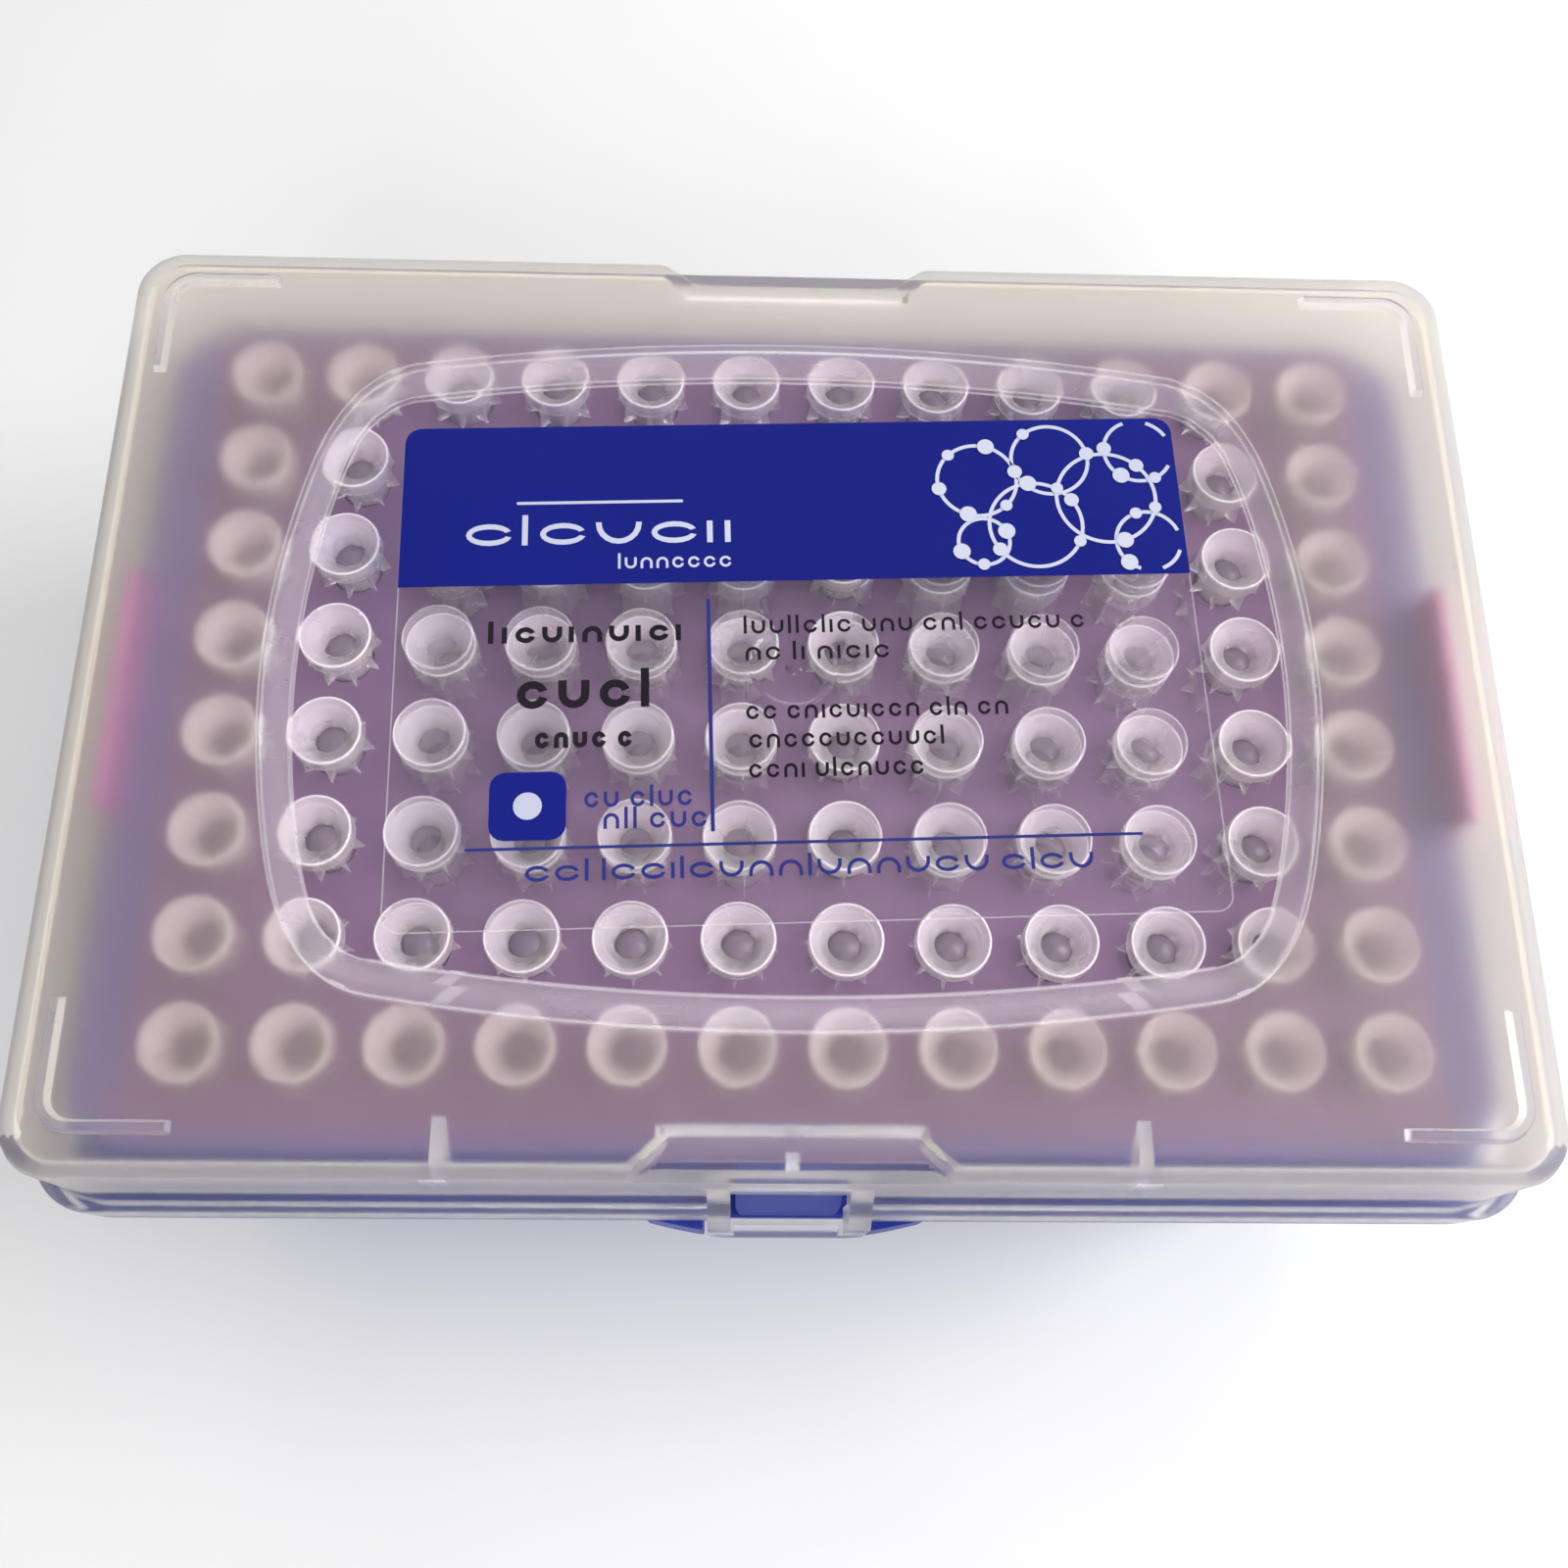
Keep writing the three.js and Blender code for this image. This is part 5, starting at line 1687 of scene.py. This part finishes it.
@dataclass
class Label:
    """The label film: a clear film with a blue band, rules, plain marks and a motif of rings and dots."""

    datum: Datum
    centre: Pair = (0.6, 1.6)
    turn: float = 2.2
    half: Pair = (35.0, 23.5)
    corner: float = 1.5
    band: float = 16.0
    ink: float = 0.02
    lift: float = 0.004
    mix: tuple[float, ...] = (0.24, 0.2, 0.2, 0.36)
    breaks: float = 0.16
    wide_gap: float = 0.5
    gap: float = 0.2
    tall_bars: float = 0.7
    short: float = 0.72

    def placed(self, form: Form) -> Form:
        """Turns a flat form about Z and moves it to the label's place."""
        cos, sin = math.cos(math.radians(self.turn)), math.sin(math.radians(self.turn))
        spin = np.array([[cos, -sin, 0], [sin, cos, 0], [0, 0, 1]])
        shift = np.array([*self.centre, 0.0])
        return Form(form.points @ spin.T + shift, form.polygons)

    def slab(self, outline: Array, level: int = 0) -> Form:
        """A thin layer of ink over the film; a higher level lies on top of a lower one."""
        low = self.datum.film_high + (self.ink + self.lift) * level + self.lift
        return prism(outline, Run.Z, low, low + self.ink)

    @staticmethod
    def bar(x: float, y: float, half_x: float, half_y: float, corner: float) -> Array:
        """The outline of a bar with rounded corners about a centre.

        Args:
            x: Its middle.
            y: Its middle height.
            half_x: Half its length.
            half_y: Half its height.
            corner: Radius of its corners, as far as it fits.

        Returns:
            Points of the outline.
        """
        r = min(corner, half_x, half_y)
        corners = [(half_x - r, half_y - r, 0), (r - half_x, half_y - r, 90), (r - half_x, r - half_y, 180),
                   (half_x - r, r - half_y, 270)]
        return np.concatenate([arc((x + cx, y + cy), r, a, a + 90, 4) for cx, cy, a in corners])

    def band_outline(self) -> Array:
        """The blue band: the label's top with its two rounded corners and a straight lower edge."""
        hx, hy = self.half[0] - 0.05, self.half[1] - 0.05
        r = self.corner
        right = arc((hx - r, hy - r), r, 0, 90, 8)
        left = arc((r - hx, hy - r), r, 90, 180, 8)
        low = self.half[1] - self.band
        return np.concatenate([right, left, [(-hx, low), (hx, low)]])

    @staticmethod
    def stroke(kind: Mark, x: float, y: float, width: float, height: float, pen: float) -> Array:
        """The outline of one plain mark: an upright bar, an arch, a cup or an open ring.

        Args:
            kind: Which mark.
            x: Its left side.
            y: Its foot.
            width: Its width.
            height: Its height.
            pen: Thickness of its line.

        Returns:
            Points of the outline.
        """
        if kind is Mark.BAR:
            return np.array([(x, y), (x + pen, y), (x + pen, y + height), (x, y + height)])
        reach, centre = width / 2, x + width / 2
        if kind is Mark.RING:
            outer, inner = arc((0, 0), 1.0, 20, 345, 18), arc((0, 0), 1.0, 345, 20, 18)
            rise = height / 2
            outline = np.concatenate([outer * (reach, rise), inner * (reach - pen, rise - pen)])
            return outline + (centre, y + rise)
        thin, foot = reach - pen, reach - height
        outline = np.concatenate([
            [(reach, foot)], arc((0, 0), reach, 0, 180, 10), [(-reach, foot)],
            [(-thin, foot)], arc((0, 0), thin, 180, 0, 10), [(thin, foot)],
        ])
        if kind is Mark.ARCH:
            return outline + (centre, y + height - reach)
        return outline * (1, -1) + (centre, y + reach)

    def marks(self, x: float, y: float, length: float, height: float, seed: int, weight: float,
              broad: float) -> list[Array]:
        """A line of plain marks grouped in clusters: seeded kinds and heights, fitted to a length.

        Args:
            x: Left end.
            y: Middle height.
            length: Length of the line.
            height: Height of the tallest marks.
            seed: Seed of the marks.
            weight: Thickness of the lines as a share of the height.
            broad: Width of a round mark as a share of the height.

        Returns:
            One outline for each mark.
        """
        rng = np.random.default_rng(seed)
        count = max(3, int(round(length / (height * (broad * 0.8 + 0.3)))))
        kinds = rng.choice(len(Mark), count, p=self.mix)
        widths = np.where(kinds == 0, weight, broad)
        gaps = np.where(rng.random(count) < self.breaks, self.wide_gap, self.gap)
        gaps[-1] = 0
        unit = length / (widths.sum() + gaps.sum())
        starts = x + unit * np.concatenate([[0], np.cumsum(widths + gaps)[:-1]])
        tall = np.where((kinds == 0) & (rng.random(count) < self.tall_bars), 1.0, self.short) * height
        return [self.stroke(Mark(k), s, y - height / 2, w * unit, t, weight * height)
                for k, s, w, t in zip(kinds, starts, widths, tall)]

    def motif(self) -> list[tuple[int, Array]]:
        """Light overlapping rings with dots on them, kept inside the band's right end.

        Each ring is a row of short curved dashes left out where it would cross the band's edge. Rings that
        cross lie at different levels, and the dots lie on top.

        Returns:
            The level and the outline of each shape.
        """
        low, high, right = self.half[1] - self.band + 0.3, self.half[1] - 0.3, self.half[0] - 0.4
        shapes, spots = [], []
        steps, half_line, dots, dot_level, apart = 36, 0.17, 6, 4, 1.6
        for x, y, radius, level in MOTIF_RINGS:
            for k in range(steps):
                start = 360.0 * k / steps
                outer = arc((x, y), radius + half_line, start, start + 360 / steps, 2)
                inner = arc((x, y), radius - half_line, start + 360 / steps, start, 2)
                shapes.append((level, np.concatenate([outer, inner])))
            for k in range(dots):
                angle = math.radians(360 / dots * k + radius * 37)
                spot = (x + radius * math.cos(angle), y + radius * math.sin(angle))
                if all(math.dist(spot, other) > apart for other in spots):
                    spots.append(spot)
                    shapes.append((dot_level, arc(spot, 0.56 + 0.11 * (k % 3), 0, 342, 19)))
        return [(level, shape) for level, shape in shapes if self.inside(shape, low, high, right)]

    @staticmethod
    def inside(outline: Array, low: float, high: float, right: float) -> bool:
        """Whether an outline stays within the band's end."""
        return bool(outline[:, 1].min() > low and outline[:, 1].max() < high and outline[:, 0].max() < right)

    def print_shapes(self) -> list[tuple[Ink, int, Array]]:
        """Every printed shape: its ink, its level above the film and its outline.

        Returns:
            The shapes, in the label's own place and unturned.
        """
        shapes = [(Ink.BLUE, 0, self.band_outline())]
        shapes += [(Ink.WHITE, level, s) for level, s in self.motif()]
        shapes += [(ink, int(ink is Ink.WHITE), mark) for ink, rows in PRINT_LINES.items() for row in rows
                   for mark in self.marks(*row)]
        shapes += [(Ink.WHITE, 1, self.bar(-17.4, 15.6, 7.4, 0.14, 0.1))]
        shapes += [(Ink.LINE, 0, self.bar(-7.94, -4.8, 0.17, 10.7, 0.1)),
                   (Ink.LINE, 0, self.bar(-0.2, -16.6, 28.2, 0.13, 0.1)),
                   (Ink.BLUE, 0, self.bar(-23.3, -12.9, 3.2, 3.0, 1.3)),
                   (Ink.WHITE, 1, arc((-23.3, -12.9), 1.2, 0, 345, 23))]
        return shapes

    def build(self) -> list[Piece]:
        """Builds the film and its print.

        Returns:
            The finished pieces.
        """
        low, high = self.datum.film_low, self.datum.film_high
        profile = [(0.6, low), (0.12, low), (0.03, low), (0.0, low + 0.04), (0.0, high - 0.04), (0.03, high),
                   (0.12, high), (0.6, high)]
        rings = Perimeter.plain(corner_steps=10, straight=4).rings(self.half, self.corner, profile)
        film = Bench.piece(self.placed(stacked(rings)), "label_film")
        sides = len(film.data.vertices) // len(profile)
        Bench.shaded(film)
        # the film's cut edge takes the paler finish as a painted highlight
        zone = np.repeat([0, 1, 1, 1, 1, 1, 0, 0], sides)[: len(film.data.polygons)]
        Bench.dressed(film, [CLEAR_FILM, FILM_EDGE_PAINTED_HIGHLIGHT], zone)
        shapes = self.print_shapes()
        forms = [self.slab(outline, level) for _, level, outline in shapes]
        faces = [sum(len(p) for p in f.polygons) for f in forms]
        prints = Bench.piece(self.placed(gathered(forms)), "label_print")
        inks = np.repeat([list(Ink).index(ink) for ink, _, _ in shapes], faces)
        Bench.dressed(prints, [ink.value for ink in Ink], inks)
        prints.data.set_sharp_from_angle(angle=math.radians(30))
        return [film, prints]


# ---- floor, lights and camera ----


@dataclass(frozen=True)
class Lamp:
    """A soft rectangular light.

    Attributes:
        name: Its name.
        place: Where it hangs, in millimetres.
        target: What it faces.
        size: Its width and height.
        power: Watts.
    """

    name: str
    place: Triple
    target: Triple
    size: Pair
    power: float

    def hang(self) -> None:
        """Hangs the light in the scene and turns it to its target."""
        data = bpy.data.lights.new(self.name, "AREA")
        data.shape = "RECTANGLE"
        data.size, data.size_y = (edge * MM for edge in self.size)
        data.energy = self.power
        made = bpy.data.objects.new(self.name, data)
        aim = Vector(self.target) - Vector(self.place)
        turn = aim.to_track_quat("-Z", "Y").to_matrix().to_4x4()
        made.matrix_world = Matrix.Translation(Vector(self.place) * MM) @ turn
        bpy.context.scene.collection.objects.link(made)


LAMPS = (
    Lamp("key", (650, 40, 560), (0, 0, 20), (400, 400), 5.1),
    Lamp("back", (60, 680, 420), (0, 20, 40), (500, 250), 1.1),
    Lamp("fill", (60, -640, 560), (0, 0, 20), (400, 300), 2.3),
)


@dataclass
class Studio:
    """A pale floor, soft lights, white air and the camera."""

    place: Triple = (-4.3, -52.7, 177.2)
    right: Triple = (0.99956, 0.00321, 0.0294)
    rise: Triple = (-0.01276, 0.94372, 0.3307)
    sight: Triple = (0.02668, 0.33091, -0.9433)
    lens: float = 35.316
    sensor: float = 36.0
    air: float = 0.585
    floor_half: float = 900.0
    floor_depth: float = 4.0

    def camera(self) -> None:
        """Sets the scene's camera over the front of the box."""
        data = bpy.data.cameras.new("view")
        data.lens = self.lens
        data.sensor_width = self.sensor
        data.clip_start = 0.01
        made = bpy.data.objects.new("view", data)
        back = [-s for s in self.sight]
        columns = Matrix((self.right, self.rise, back)).transposed()
        made.matrix_world = Matrix.Translation(Vector(self.place) * MM) @ columns.to_4x4()
        bpy.context.scene.collection.objects.link(made)
        bpy.context.scene.camera = made

    def build(self) -> None:
        """Lays the floor, hangs the lights and sets the camera."""
        reach = self.floor_half
        floor = Bench.piece(block((-reach, -reach, -self.floor_depth), (reach, reach, 0.0)), "floor")
        Bench.dressed(floor, [FLOOR_PAPER])
        world = bpy.data.worlds.new("air")
        bpy.context.scene.world = world
        world.use_nodes = True
        air = world.node_tree.nodes["Background"]
        air.inputs["Color"].default_value = (1.0, 1.0, 1.0, 1)
        air.inputs["Strength"].default_value = self.air
        for lamp in LAMPS:
            lamp.hang()
        bpy.context.scene.view_settings.view_transform = "Standard"
        self.camera()


# ---- the whole ----


def main() -> None:
    """Builds every sub-assembly over the frame and reports each piece."""
    logging.basicConfig(level=logging.INFO, format="%(name)s: %(message)s", stream=sys.stdout)
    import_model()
    datum = Datum.read()
    Studio().build()
    tips = Tips(datum)
    made: list[tuple[str, Piece, str, Optional[str]]] = []
    wafer = Wafer(datum).build(tips.places())
    made.append(("rack", wafer, "tip_wafer", "magenta_wafer"))
    made += [("rack", piece, "tip_wafer", None) for piece in tips.build()]
    made.append(("rack", Tray(datum).build(), "base", "blue_base"))
    made.append(("cover", Lid(datum).build(), "lid", "frosted_lid"))
    made += [("cover", piece, "label", "label_film") for piece in Label(datum).build()]
    for body, piece, node, slot in made:
        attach(piece, body)
        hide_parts(node)
        log.info("%s: %d points, %d faces", piece.name, len(piece.data.vertices), len(piece.data.polygons))
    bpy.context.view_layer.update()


if __name__ == "__main__":
    main()
